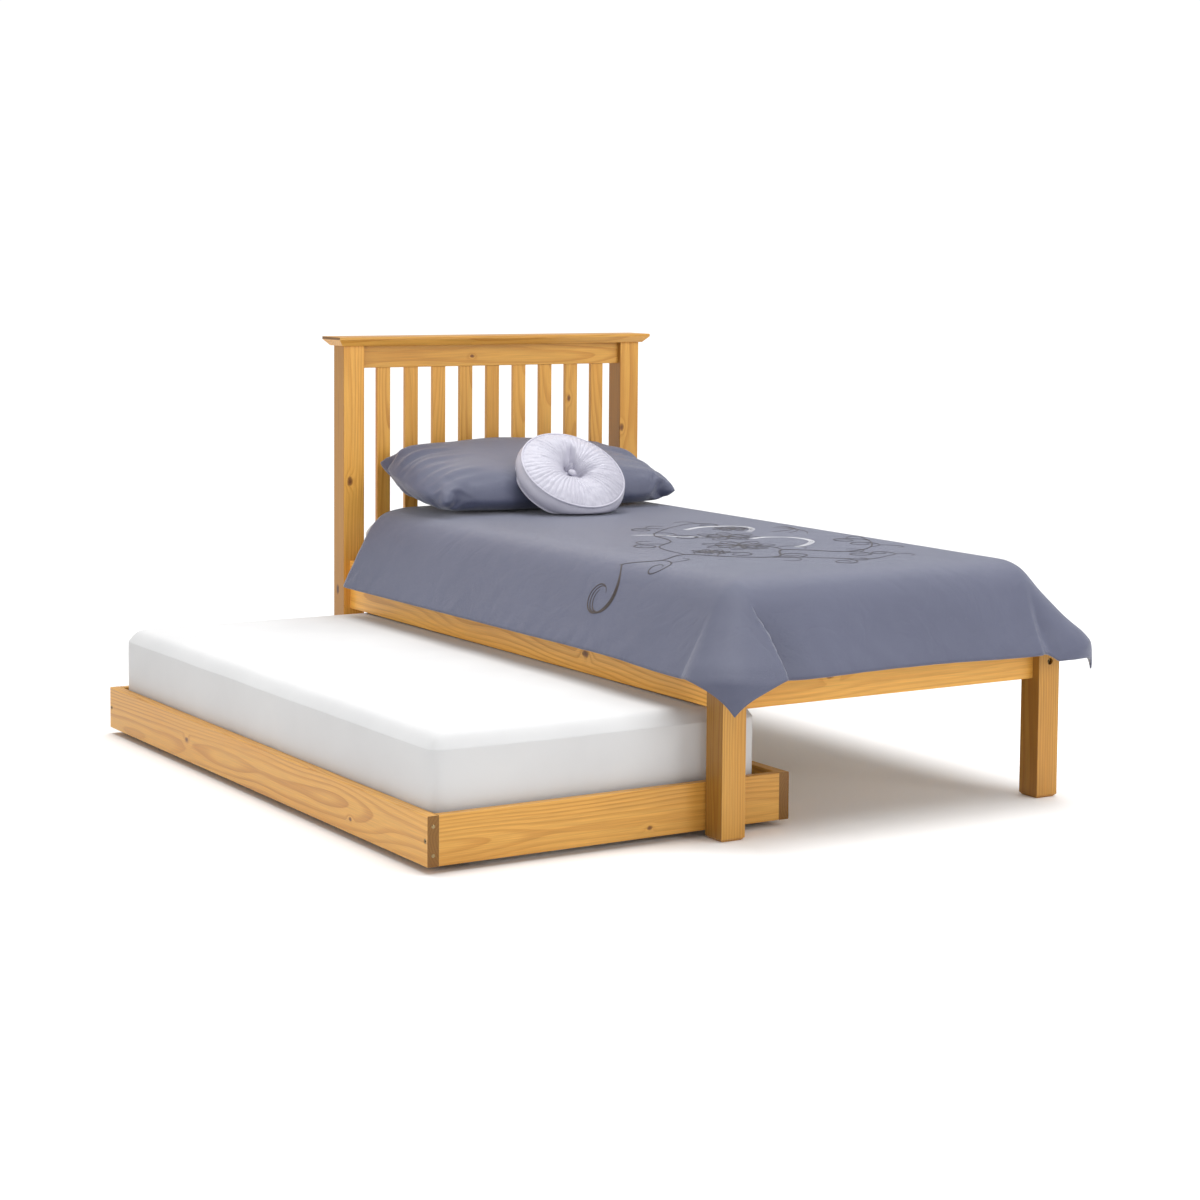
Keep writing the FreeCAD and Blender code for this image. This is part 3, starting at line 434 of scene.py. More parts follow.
    # painted shade: faces turned towards -X are darkened, most in the blue, as though the light fell
    # from the right
    if left_painted_shade != 1.0:
        normal = tree.nodes.new("ShaderNodeTexCoord").outputs["Normal"]
        left = to_range(tree, add(tree, "SeparateXYZ", normal).outputs[0], 1.0, 0.0, -0.85, -0.35)
        painted_shade_colour = (left_painted_shade, left_painted_shade * 0.93, left_painted_shade * 0.80, 1.0)
        colour = mixed(tree, left, colour, painted_shade_colour, "MULTIPLY")
    colour = mixed(tree, maths(tree, "MULTIPLY", end, 0.85), colour, END_GRAIN, "MULTIPLY")
    wire(tree, colour, shader, "Base Color")
    dull, duller = (0.52, 0.72) if bare else (0.30, 0.44)
    wire(tree, to_range(tree, fibre.outputs["Fac"], dull, duller, 0.3, 0.7), shader, "Roughness")
    shader.inputs["Coat Weight"].default_value = 0.0 if bare else 0.12
    shader.inputs["Coat Roughness"].default_value = 0.22
    relief = maths(tree, "ADD", maths(tree, "MULTIPLY", fibre.outputs["Fac"], 0.7),
                   maths(tree, "MULTIPLY", line, -0.5))
    bump(tree, shader, relief, 0.0003 if bare else 0.00015, 0.6)
    return bpy.data.materials["wood_" + name]


# ---- metal, rubber and cloth

def metal(name, colour, roughness):
    tree, shader = new_material(name, roughness)
    shader.inputs["Metallic"].default_value = 1.0
    place = object_point(tree)
    fine = noise_at(tree, place, 220.0, 3.0, 0.6)
    dull = noise_at(tree, place, 35.0, 2.0)
    light = tuple(min(1.0, c * 1.25) for c in colour[:3]) + (1.0,)
    dark = tuple(c * 0.7 for c in colour[:3]) + (1.0,)
    wire(tree, mixed(tree, dull.outputs["Fac"], dark, light), shader, "Base Color")
    gloss = to_range(tree, fine.outputs["Fac"], roughness * 0.75, roughness * 1.35, 0.3, 0.7)
    wire(tree, gloss, shader, "Roughness")
    bump(tree, shader, fine.outputs["Fac"], 0.0001, 0.5)
    return bpy.data.materials[name]


def rubber(name):
    tree, shader = new_material(name, 0.5)
    place = object_point(tree)
    scuff = noise_at(tree, place, 160.0, 4.0, 0.65)
    dust = noise_at(tree, place, 28.0, 2.0)
    colour = mixed(tree, to_range(tree, dust.outputs["Fac"], 0.0, 0.5, 0.45, 0.8),
                   (0.018, 0.018, 0.019, 1.0), (0.055, 0.052, 0.048, 1.0))
    wire(tree, colour, shader, "Base Color")
    wire(tree, to_range(tree, scuff.outputs["Fac"], 0.38, 0.66, 0.3, 0.7), shader, "Roughness")
    bump(tree, shader, scuff.outputs["Fac"], 0.0002, 0.5)
    return bpy.data.materials[name]


def weave_height(tree, place, period):
    """Crossed threads that show on a face whichever way it turns."""
    wobble = noise_at(tree, place, 60.0, 1.0)
    bent = vector_maths(tree, "ADD", place, vector_maths(
        tree, "MULTIPLY", wobble.outputs["Color"], (period * 2, period * 2, period * 2)))
    split = add(tree, "SeparateXYZ", bent)
    turn = 2 * math.pi / period
    warp = maths(tree, "SINE", maths(tree, "MULTIPLY", maths(
        tree, "ADD", split.outputs[0], split.outputs[2]), turn))
    weft = maths(tree, "SINE", maths(tree, "MULTIPLY", maths(
        tree, "ADD", split.outputs[1], split.outputs[2]), turn))
    return maths(tree, "MULTIPLY", warp, weft)


def cloth(name, deep, pale, roughness, sheen, period, crease=0.0, nap=0.0):
    """Cloth: slow shifts of colour, soft creases, then the weave or the nap on top."""
    tree, shader = new_material(name, roughness, 0.6)
    place = object_point(tree)
    slow = noise_at(tree, place, 3.2, 3.0, 0.55)
    fine = noise_at(tree, place, 900.0, 2.0, 0.6)
    tint = maths(tree, "ADD", maths(tree, "MULTIPLY", slow.outputs["Fac"], 0.7),
                 maths(tree, "MULTIPLY", fine.outputs["Fac"], 0.3))
    colour = mixed(tree, to_range(tree, tint, 0.0, 1.0, 0.3, 0.7), deep, pale)
    wire(tree, colour, shader, "Base Color")
    gloss = to_range(tree, fine.outputs["Fac"], roughness - 0.06, roughness + 0.08, 0.3, 0.7)
    wire(tree, gloss, shader, "Roughness")
    shader.inputs["Sheen Weight"].default_value = sheen
    shader.inputs["Sheen Roughness"].default_value = 0.35
    shader.inputs["Sheen Tint"].default_value = tuple(lerp(c, 1.0, 0.45) for c in pale[:3]) + (1.0,)
    under = None
    if crease:
        folds = noise_at(tree, scaled(tree, place, 1.0, 0.7, 1.0), 7.0, 4.0, 0.55, 0.8)
        ridge = maths(tree, "ABSOLUTE", maths(tree, "SUBTRACT", folds.outputs["Fac"], 0.5))
        ridge = maths(tree, "POWER", ridge, 0.6)
        under = bump(tree, shader, ridge, crease, 0.6)
    height = weave_height(tree, place, period)
    if nap:
        tufts = noise_at(tree, place, nap, 3.0, 0.7)
        height = maths(tree, "ADD", maths(tree, "MULTIPLY", height, 0.3),
                       maths(tree, "MULTIPLY", tufts.outputs["Fac"], 2.0))
    bump(tree, shader, height, period * 0.22, 0.5, under)
    return bpy.data.materials[name]


def thread(name, colour, roughness=0.42):
    """Lustrous embroidery thread, twisted along its length."""
    tree, shader = new_material(name, roughness)
    place = object_point(tree)
    twist = noise_at(tree, place, 850.0, 2.0, 0.6)
    dark = tuple(c * 0.72 for c in colour[:3]) + (1.0,)
    wire(tree, mixed(tree, twist.outputs["Fac"], dark, colour), shader, "Base Color")
    shader.inputs["Sheen Weight"].default_value = 0.05
    bump(tree, shader, twist.outputs["Fac"], 0.0006, 0.7)
    return bpy.data.materials[name]


# ---- finish of the carried-over nodes

# which way each board's grain runs, by how its name begins
GRAIN = {"x": ("headboard_cap", "headboard_top_rail", "headboard_bottom_rail", "foot_rail",
               "trundle_end", "trundle_slats", "castor_blocks", "bed_slat"),
         "y": ("side_rail", "slat_ledge", "trundle_rail", "trundle_ledge"),
         "z": ("headboard_post", "headboard_slat", "foot_leg")}
BARE = ("bed_slat", "slat_ledge", "trundle_slats", "trundle_ledge", "castor_blocks")
# each knot: where it lies across the board's box, as shares of X, Y and Z, and its radius
KNOTS = {"headboard_post_left": (((0.30, 0.0, 0.630), 0.0085), ((0.0, 0.6, 0.33), 0.009)),
         "headboard_post_right": (((0.10, 0.0, 0.752), 0.0080), ((0.7, 1.0, 0.45), 0.009)),
         "headboard_slat_8": (((0.30, 0.0, 0.800), 0.0065),),
         "headboard_top_rail": (((0.42, 0.0, 0.45), 0.0050),),
         "foot_rail": (((0.30, 0.0, 0.42), 0.0080), ((0.74, 0.0, 0.60), 0.0065)),
         "side_rail_left": (((0.0, 0.30, 0.35), 0.010), ((0.0, 0.74, 0.60), 0.007)),
         "side_rail_right": (((1.0, 0.42, 0.55), 0.010), ((1.0, 0.83, 0.30), 0.008)),
         "trundle_rail_outer": (((0.0, 0.71, 0.50), 0.007), ((0.0, 0.20, 0.30), 0.005)),
         "trundle_end_foot": (((0.60, 0.0, 0.20), 0.005),)}
# each board's brightness: partly its own tone, partly painted light; the left side rail is lightened
# against the shade under the duvet's overhang
BOARD_TONE_AND_LIGHT = {"headboard_post_left": 1.12, "foot_leg_left": 0.90, "foot_leg_right": 0.86, "foot_rail": 1.18,
         "headboard_post_right": 0.96, "headboard_top_rail": 0.92, "trundle_rail_outer": 1.02,
         "trundle_end_foot": 1.0, "side_rail_left": 1.34}
# the posts' and legs' left faces, darkened to match the photo's light, which falls from the right
LEFT_PAINTED_SHADE = {"headboard_post_left": 0.60, "headboard_post_right": 0.60, "foot_leg_left": 0.52,
              "foot_leg_right": 0.62}


def finish_wood():
    for seed, name in enumerate(sorted(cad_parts)):
        axis = next((a for a, starts in GRAIN.items() if name.startswith(starts)), None)
        if axis is None or name == "bed_slat_screws":
            continue
        low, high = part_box(name)
        tone_and_light = BOARD_TONE_AND_LIGHT.get(name, random.Random(seed * 31 + 3).uniform(0.95, 1.05))
        paint(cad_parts[name], pine(name, axis, seed + 1, low, high, KNOTS.get(name, ()), tone_and_light,
                                         name.startswith(BARE), LEFT_PAINTED_SHADE.get(name, 1.0)))


def paint(piece, material):
    slots = piece.material_slots
    if not slots:
        piece.data.materials.append(material)
        return
    for slot in slots:
        slot.link = "OBJECT"
        slot.material = material


def finish_fittings():
    zinc = metal("zinc_plate", (0.60, 0.60, 0.61, 1.0), 0.33)
    bronze = metal("bronzed_plate", (0.30, 0.22, 0.11, 1.0), 0.30)
    for name in ("rail_barrel_nuts", "trundle_barrel_nuts", "bed_slat_screws", "trundle_screws",
                 "castor_forks", "castor_axles"):
        paint(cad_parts[name], zinc)
    for name in ("rail_bolts", "trundle_bolts"):
        paint(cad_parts[name], bronze)
    low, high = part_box("rail_dowels")
    paint(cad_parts["rail_dowels"], pine("rail_dowels", "y", 71, low, high, (), 0.95, True))
    tyre = rubber("tyre_rubber")
    for number in range(1, 5):
        paint(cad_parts[f"castor_wheel_{number}"], tyre)


PLUG_RADIUS = 0.0045
PLUG_PROUD = 0.0006
PLUG_LEVELS = (0.22, 0.79)
# a plug's rings, from its face inwards: radius and depth, as shares of the two sizes above
PLUG_PROFILE = ((0.62, -1.0), (0.92, -0.7), (1.0, 0.0), (1.0, 3.0))


def make_end_plugs():
    """The dark plugs that close the screw holes in the outer rail's foot end."""
    low, high = corners("trundle_rail_outer")
    bm = bmesh.new()
    for share in PLUG_LEVELS:
        middle = Vector(((low.x + high.x) / 2, low.y, lerp(low.z, high.z, share)))
        rings = []
        for radius, depth in PLUG_PROFILE:
            r = radius * PLUG_RADIUS
            places = [Vector((r * math.cos(a), depth * PLUG_PROUD, r * math.sin(a))) for a in turns(24)]
            rings.append([bm.verts.new(middle + p) for p in places])
        for near, far in zip(rings, rings[1:]):
            bridge(bm, near, far)
        bm.faces.new(rings[0])
        bm.faces.new(rings[-1][::-1])
    bmesh.ops.recalc_face_normals(bm, faces=bm.faces)
    plugs = mesh_object("trundle_rail_plugs", bm)
    dress(plugs, bpy.data.materials["bronzed_plate"])
    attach(plugs, "trundle")


# ---- cloth simulation

def run_cloth(piece, frames, **wanted):
    """Step Blender's cloth on a piece and keep the last frame as its mesh."""
    scene = bpy.context.scene
    modifier = piece.modifiers.new("cloth", "CLOTH")
    settings = modifier.settings
    contact = modifier.collision_settings
    contact.use_collision = wanted.pop("collide", False)
    contact.use_self_collision = wanted.pop("self_collide", False)
    contact.distance_min = 0.004
    contact.self_distance_min = wanted.pop("self_gap", 0.004)
    contact.collision_quality = 3
    settings.effector_weights.gravity = wanted.pop("gravity", 0.0)
    for key, value in wanted.items():
        setattr(settings, key, value)
    modifier.point_cache.frame_start = 1
    modifier.point_cache.frame_end = frames
    for number in range(1, frames + 1):
        scene.frame_set(number)
    swap_mesh(piece, evaluated_mesh(piece))
    scene.frame_set(1)


# ---- duvet

DUVET_LENGTH = 2.015
DUVET_WIDTH = 1.335
DUVET_HEAD = 0.845
DUVET_TOP = 0.592
DUVET_CELL = 0.0150
DUVET_FRAMES = 56
# the drape's profile: how far out from the top's edge line, and the height, from top to hem
DUVET_PROFILE = ((-0.200, 0.590), (-0.110, 0.588), (-0.060, 0.580), (-0.026, 0.564), (-0.002, 0.538),
                 (0.018, 0.504), (0.040, 0.462), (0.062, 0.420), (0.084, 0.380), (0.100, 0.340),
                 (0.104, 0.250))
EDGE_X = 0.462
EDGE_FOOT = 0.965
PROFILE_CORNER = 0.055
# where the top starts to turn down, from the profile's third point, and how far the cover
# stands off the fill
TURN_X = EDGE_X - 0.060
TURN_FOOT = EDGE_FOOT - 0.060
STAND_OFF = 0.006
# each foot corner's fold: the cloth's own angle from side to foot, the angle it hangs at, and how
# far out it stands
LEFT_FOLD = ((0, 0, 0.0), (18, 20, 0.022), (42, 50, 0.036), (62, 78, 0.026), (74, 93, 0.024),
             (78, 97, 0.018), (82, 90, 0.000), (86, 87, -0.017), (90, 90, -0.017))
# how far the foot's cloth is drawn in behind the left fold, and how wide that hollow is
LEFT_HOLLOW = 0.017
HOLLOW_REACH = 0.11
RIGHT_FOLD = ((0, 0, 0.0), (20, 10, 0.012), (38, 27, 0.045), (50, 42, 0.050), (62, 62, 0.018),
              (72, 76, -0.008), (82, 85, -0.006), (90, 90, 0.0))
# the distances, from the flat top inwards, over which a set corner gives way to simulated cloth
CORNER_BLEND = (0.05, 0.36)
# the lengths down the drape over which a fold's turn, its stand-out and its lifted hem come in
FOLD_TURNS = (0.03, 0.16)
FOLD_STANDS = (0.06, 0.24)
FOLD_LIFTS = (0.16, 0.36)
FOLD_LIFT = 1.1
# the soft unevenness of the set cloth, in metres, and the length over which it comes in
SWELL = 0.005
SWELL_COMES = (0.02, 0.20)


def outline(out, level, steps):
    """A ring of the bed's filled shape, from the head's right end round the foot to its left."""
    points = []
    half = EDGE_X + out
    foot = EDGE_FOOT + out
    radius = PROFILE_CORNER
    for side in (1, -1):
        start = [at(side * half, lerp(0.945, -foot + radius, i / steps), level) for i in range(steps)]
        bend = []
        for i in range(9):
            a = math.pi / 2 * i / 8
            bend.append(at(side * (half - radius + radius * math.cos(a)),
                           -foot + radius - radius * math.sin(a), level))
        points.append(start + bend)
    across = [at(lerp(half - radius, -half + radius, i / steps), -foot, level) for i in range(1, steps)]
    return points[0] + across + points[1][::-1]


def duvet_support():
    """The filled bulk under the duvet's cover, which the cover is laid over."""
    bm = bmesh.new()
    rings = []
    for out, level in DUVET_PROFILE:
        rings.append([bm.verts.new(p) for p in outline(out, level, 24)])
    for upper, lower in zip(rings, rings[1:]):
        for i in range(len(upper) - 1):
            bm.faces.new((upper[i], upper[i + 1], lower[i + 1], lower[i]))
    top = bm.faces.new(rings[0])
    head = bm.faces.new([r[0] for r in rings][::-1] + [r[-1] for r in rings])
    bmesh.ops.triangulate(bm, faces=[top, head])
    bmesh.ops.recalc_face_normals(bm, faces=bm.faces)
    return mesh_object("duvet_support", bm)


def flat_cloth(name, width, length, head, level, cell):
    across = round(width / cell)
    down = round(length / cell)
    bm = bmesh.new()
    grid = []
    for j in range(down + 1):
        row = []
        for i in range(across + 1):
            x = width * (i / across - 0.5)
            y = head - length * j / down
            z = level + 0.0015 * ripple(x * 5, y * 5, 0, 2) + 0.0008 * ripple(x * 23, y * 23, 0, 5)
            row.append(bm.verts.new(at(x, y, z)))
        grid.append(row)
    for j in range(down):
        for i in range(across):
            bm.faces.new((grid[j][i], grid[j + 1][i], grid[j + 1][i + 1], grid[j][i + 1]))
    return mesh_object(name, bm)


def make_duvet(material):
    support = duvet_support()
    support.modifiers.new("collide", "COLLISION")
    support.collision.thickness_outer = 0.003
    support.collision.cloth_friction = 30.0
    duvet = flat_cloth("duvet_cover", DUVET_WIDTH, DUVET_LENGTH, DUVET_HEAD, DUVET_TOP + STAND_OFF,
                       DUVET_CELL)
    run_cloth(duvet, DUVET_FRAMES, collide=True, self_collide=True, self_gap=0.007, gravity=1.0,
              quality=7, mass=0.5, air_damping=2.0, tension_stiffness=40.0,
              compression_stiffness=40.0, shear_stiffness=12.0, bending_stiffness=45.0,
              bending_damping=1.0, tension_damping=8.0, compression_damping=8.0)
    bpy.data.objects.remove(support)
    mark_flat_places(duvet)
    subdivide(duvet, 1)
    flat = flat_places(duvet)
    settle_corners(duvet, flat)
    fill_duvet(duvet, flat)
    dress(duvet, material)
    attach(duvet, "bed")
    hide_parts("duvet")
    return duvet


def mark_flat_places(duvet):
    """Note on the draped cloth where each point lay on the flat sheet, as shares of its size."""
    across = round(DUVET_WIDTH / DUVET_CELL)
    down = round(DUVET_LENGTH / DUVET_CELL)
    layer = duvet.data.uv_layers.new(name="flat")
    for loop in duvet.data.loops:
        i, j = loop.vertex_index % (across + 1), loop.vertex_index // (across + 1)
        layer.data[loop.index].uv = (i / across, j / down)


def flat_places(duvet):
    """Each vertex's place on the flat sheet, in metres, across and along from the bed's middle."""
    places = [None] * len(duvet.data.vertices)
    layer = duvet.data.uv_layers["flat"]
    for loop in duvet.data.loops:
        u, v = layer.data[loop.index].uv
        places[loop.vertex_index] = (DUVET_WIDTH * (u - 0.5), DUVET_HEAD - DUVET_LENGTH * v)
    duvet.data.uv_layers.remove(layer)
    return places


def eased(keys, x):
    """A smooth curve through keys, each (x, values...), as a list of its values at x."""
    n = 1
    while n < len(keys) - 2 and keys[n + 1][0] < x:
        n += 1
    if x < keys[n][0]:
        n -= 1
    start, end = keys[n], keys[n + 1]
    before, after = keys[max(n - 1, 0)], keys[min(n + 2, len(keys) - 1)]
    span = end[0] - start[0]
    t = min(1.0, max(0.0, (x - start[0]) / span))
    values = []
    for k in range(1, len(start)):
        lead = (end[k] - before[k]) / (end[0] - before[0]) * span
        trail = (after[k] - start[k]) / (after[0] - start[0]) * span
        values.append((2 * t ** 3 - 3 * t ** 2 + 1) * start[k] + (t ** 3 - 2 * t ** 2 + t) * lead
                      + (3 * t ** 2 - 2 * t ** 3) * end[k] + (t ** 3 - t ** 2) * trail)
    return values


def drape_keys():
    """The profile by its length along the cloth: (length from the turn, how far out from it, height)."""
    keys = [(0.0, DUVET_PROFILE[0][0], DUVET_PROFILE[0][1])]
    for (out, level), (next_out, next_level) in zip(DUVET_PROFILE, DUVET_PROFILE[1:]):
        keys.append((keys[-1][0] + math.hypot(next_out - out, next_level - level), next_out, next_level))
    start = keys[2][0]
    turn = DUVET_PROFILE[2][0]
    return [(length - start, out - turn, level) for length, out, level in keys]


def settle_corners(duvet, flat):
    """Set the two foot corners, each in one fold against the foot, over the simulated cloth."""
    keys = drape_keys()
    for v, (across, along) in zip(duvet.data.vertices, flat):
        hand = 1 if across > 0 else -1
        side = abs(across) - TURN_X
        foot = -TURN_FOOT - along
        gap = math.hypot(min(0.0, side), min(0.0, foot))
        weight = 1 - ramp(gap, *CORNER_BLEND)
        if weight <= 0:
            continue
        length = math.hypot(side, foot) if side > 0 and foot > 0 else max(side, foot)
        out, level = eased(keys, max(keys[0][0], length))
        out += STAND_OFF * ramp(length, 0.0, 0.08)
        level += STAND_OFF * (1 - ramp(length, 0.0, 0.10))
        x, y = abs(across), along
        if side > 0 and foot > 0:
            plain = math.degrees(math.atan2(foot, side))
            angle, stand = eased(LEFT_FOLD if hand < 0 else RIGHT_FOLD, plain)
            angle = math.radians(lerp(plain, angle, ramp(length, *FOLD_TURNS)))
            out += stand * ramp(length, *FOLD_STANDS)
            level += abs(stand) * FOLD_LIFT * ramp(length, *FOLD_LIFTS)
            x = TURN_X + out * math.cos(angle)
            y = -TURN_FOOT - out * math.sin(angle)
        elif side > 0:
            x = TURN_X + out
        elif foot > 0:
            hollow = LEFT_HOLLOW * (1 - ramp(-side, 0.0, HOLLOW_REACH)) * ramp(length, *FOLD_STANDS)
            y = -TURN_FOOT - out + (hollow if hand < 0 else 0.0)
        swell = SWELL * ramp(length, *SWELL_COMES) * ripple(x * 6, y * 6, level * 3, 12)
        x += swell
        y -= swell
        v.co = v.co.lerp(at(hand * x, y, level), weight)


def fill_duvet(duvet, flat):
    """Give the draped cover its filling: an underside that is thick on top and thin at the hem."""
    mesh = duvet.data
    places = [v.co.copy() for v in mesh.vertices]
    normals = [v.normal.copy() for v in mesh.vertices]
    quads = [list(face.vertices) for face in mesh.polygons]
    uses = {}
    for quad in quads:
        for a, b in zip(quad, quad[1:] + quad[:1]):
            uses[a, b] = True
    bm = bmesh.new()
    upper = [bm.verts.new(p) for p in places]
    lower = []
    for n, (across, along) in enumerate(flat):
        to_edge = min(DUVET_WIDTH / 2 - abs(across), DUVET_HEAD - along,
                      DUVET_LENGTH - DUVET_HEAD + along)
        depth = lerp(0.004, 0.009, ramp(to_edge, 0.0, 0.03))
        depth += 0.024 * ramp(places[n].z, 0.545, 0.585) * ramp(to_edge, 0.0, 0.10)
        lower.append(bm.verts.new(places[n] - normals[n] * depth))
    for quad in quads:
        bm.faces.new([upper[k] for k in quad])
        bm.faces.new([lower[k] for k in quad][::-1])
    for a, b in uses:
        if (b, a) not in uses:
            bm.faces.new((upper[b], upper[a], lower[a], lower[b]))
    bmesh.ops.recalc_face_normals(bm, faces=bm.faces)
    bm.to_mesh(mesh)
    bm.free()


# ---- pillow

PILLOW_WIDTH = 0.860
PILLOW_DEPTH = 0.500
PILLOW_HALF_THICK = 0.086
PILLOW_SLOPE = math.radians(12)
PILLOW_CENTRE = (0.000, 0.740, 0.678)
PILLOW_DRAWN_IN = (0.105, 0.200)
PILLOW_EAR = 0.016
PILLOW_GATHER = 0.0130
PILLOW_SWELL = 0.004
# the duvet's top and the headboard's face, where the pillow is flat, and how soft the join is
PILLOW_REST = 0.601
PILLOW_BACK = 0.942
REST_SOFTNESS = 0.012


def envelope(name, width, depth, cell, bulge):
    """Two sheets sewn together round the edge, ready to be blown up."""
    across = round(width / cell)
    down = round(depth / cell)
    bm = bmesh.new()
    grids = []
    for side in (1, -1):
        grid = {}
        for j in range(down + 1):
            for i in range(across + 1):
                edge = i in (0, across) or j in (0, down)
                if edge and side < 0:
                    grid[i, j] = grids[0][i, j]
                    continue
                u = i / across
                v = j / down
                lift = 0.0 if edge else side * bulge * math.sin(math.pi * u) * math.sin(math.pi * v)
                lift += 0.0 if edge else side * 0.002
                east, north = 2 * u - 1, 2 * v - 1
                ear = PILLOW_EAR * ramp(abs(east), 0.88, 1.0) * ramp(abs(north), 0.80, 1.0)
                x = width / 2 * east * (1 - PILLOW_DRAWN_IN[0] * north ** 4) + math.copysign(ear, east)
                y = depth / 2 * north * (1 - PILLOW_DRAWN_IN[1] * east ** 4) + math.copysign(ear, north)
                grid[i, j] = bm.verts.new((x, y, lift + 0.001 * ripple(u * 9, v * 9, side, 3)))
        grids.append(grid)
    for grid, side in zip(grids, (1, -1)):
        for j in range(down):
            for i in range(across):
                quad = [grid[i, j], grid[i + 1, j], grid[i + 1, j + 1], grid[i, j + 1]]
                bm.faces.new(quad if side > 0 else quad[::-1])
    return mesh_object(name, bm)


def make_pillow(material):
    pillow = envelope("pillow_case", PILLOW_WIDTH, PILLOW_DEPTH, 0.012, 0.02)
    run_cloth(pillow, 10, quality=6, mass=0.25, tension_stiffness=20.0, compression_stiffness=20.0,
              shear_stiffness=8.0, bending_stiffness=0.4, use_pressure=True,
              uniform_pressure_force=4.0, air_damping=4.0)
    subdivide(pillow, 1)
    reach = max(v.co.x for v in pillow.data.vertices)
    flatten = PILLOW_HALF_THICK / max(v.co.z for v in pillow.data.vertices)
    lean = Matrix.Rotation(PILLOW_SLOPE, 3, "X")
    folded = []
    for v in pillow.data.vertices:
        p = v.co.copy()
        toward_end = ramp(abs(p.x), reach * 0.42, reach * 0.86)
        full = ramp(abs(p.z), 0.006, 0.05)
        hand = 1 if p.x > 0 else -1
        gather = ripple(p.y * 15 + 0.5 * abs(p.x), p.x * 3.5, p.z * 2, 21 + hand)
        gather += 0.6 * ripple(p.y * 34, p.x * 5.0, p.z * 2, 24 + hand)
        p += v.normal * gather * PILLOW_GATHER * toward_end * full
        p += v.normal * PILLOW_SWELL * ripple(p.x * 6, p.y * 6, p.z * 4, 8) * full
        p.z *= flatten
        p = lean @ p
        p += Vector(PILLOW_CENTRE)
        p.z = soft_floor(p.z, PILLOW_REST, REST_SOFTNESS)
        p.y = -soft_floor(-p.y, -PILLOW_BACK, REST_SOFTNESS)
        folded.append(at(*p))
    for v, spot in zip(pillow.data.vertices, folded):
        v.co = spot
    dress(pillow, material)
    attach(pillow, "bed")
    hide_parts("pillow")


# ---- round cushion

CUSHION_RADIUS = 0.153
CUSHION_HALF_THICK = 0.027
CUSHION_CROWN = 0.020
CUSHION_DIMPLE = 0.015
CUSHION_CENTRE = (0.0, 0.505, 0.694)
CUSHION_SLOPE = math.radians(38)
CUSHION_PLEATS = 54
CUSHION_TUCKS = 19
CUSHION_FACE_ROWS = 40
PLEAT_DEPTH = 0.0046
TUCK_DEPTH = 0.0115
TUCK_WIDTH = 0.055
# where the cushion is flat against the duvet
CUSHION_REST = 0.600
PIPING = 0.0032
# the button's rings, from the middle of its top to its underside: radius and height
BUTTON_PROFILE = ((0.0015, 0.0066), (0.004, 0.0064), (0.007, 0.0057), (0.0095, 0.0042),
                  (0.0115, 0.0020), (0.0122, -0.0005), (0.0115, -0.0030), (0.0090, -0.0045))


def cushion_place():
    return Matrix.Translation(at(*CUSHION_CENTRE)) @ Matrix.Rotation(CUSHION_SLOPE, 4, "X")


def cushion_crown(t):
    """The face's rise from its rim, which swells and then sinks towards the button."""
    crown = CUSHION_CROWN * math.sin(math.pi * t ** 1.15) ** 0.8
    return crown - CUSHION_DIMPLE * (1 - ramp(t, 0.0, 0.30))


def pleat_reach(t):
    """How deep the small pleats are, from none at the button to most near the rim's seam."""
    return ramp(t, 0.02, 0.22) * (0.75 + 0.25 * ramp(t, 0.5, 0.95))


def settle_cushion(piece, place):
    """Move a piece of the cushion to its place, flat where it rests on the duvet."""
    for v in piece.data.vertices:
        p = place @ v.co
        p.z = soft_floor(p.z, CUSHION_REST, 0.006)
        v.co = p


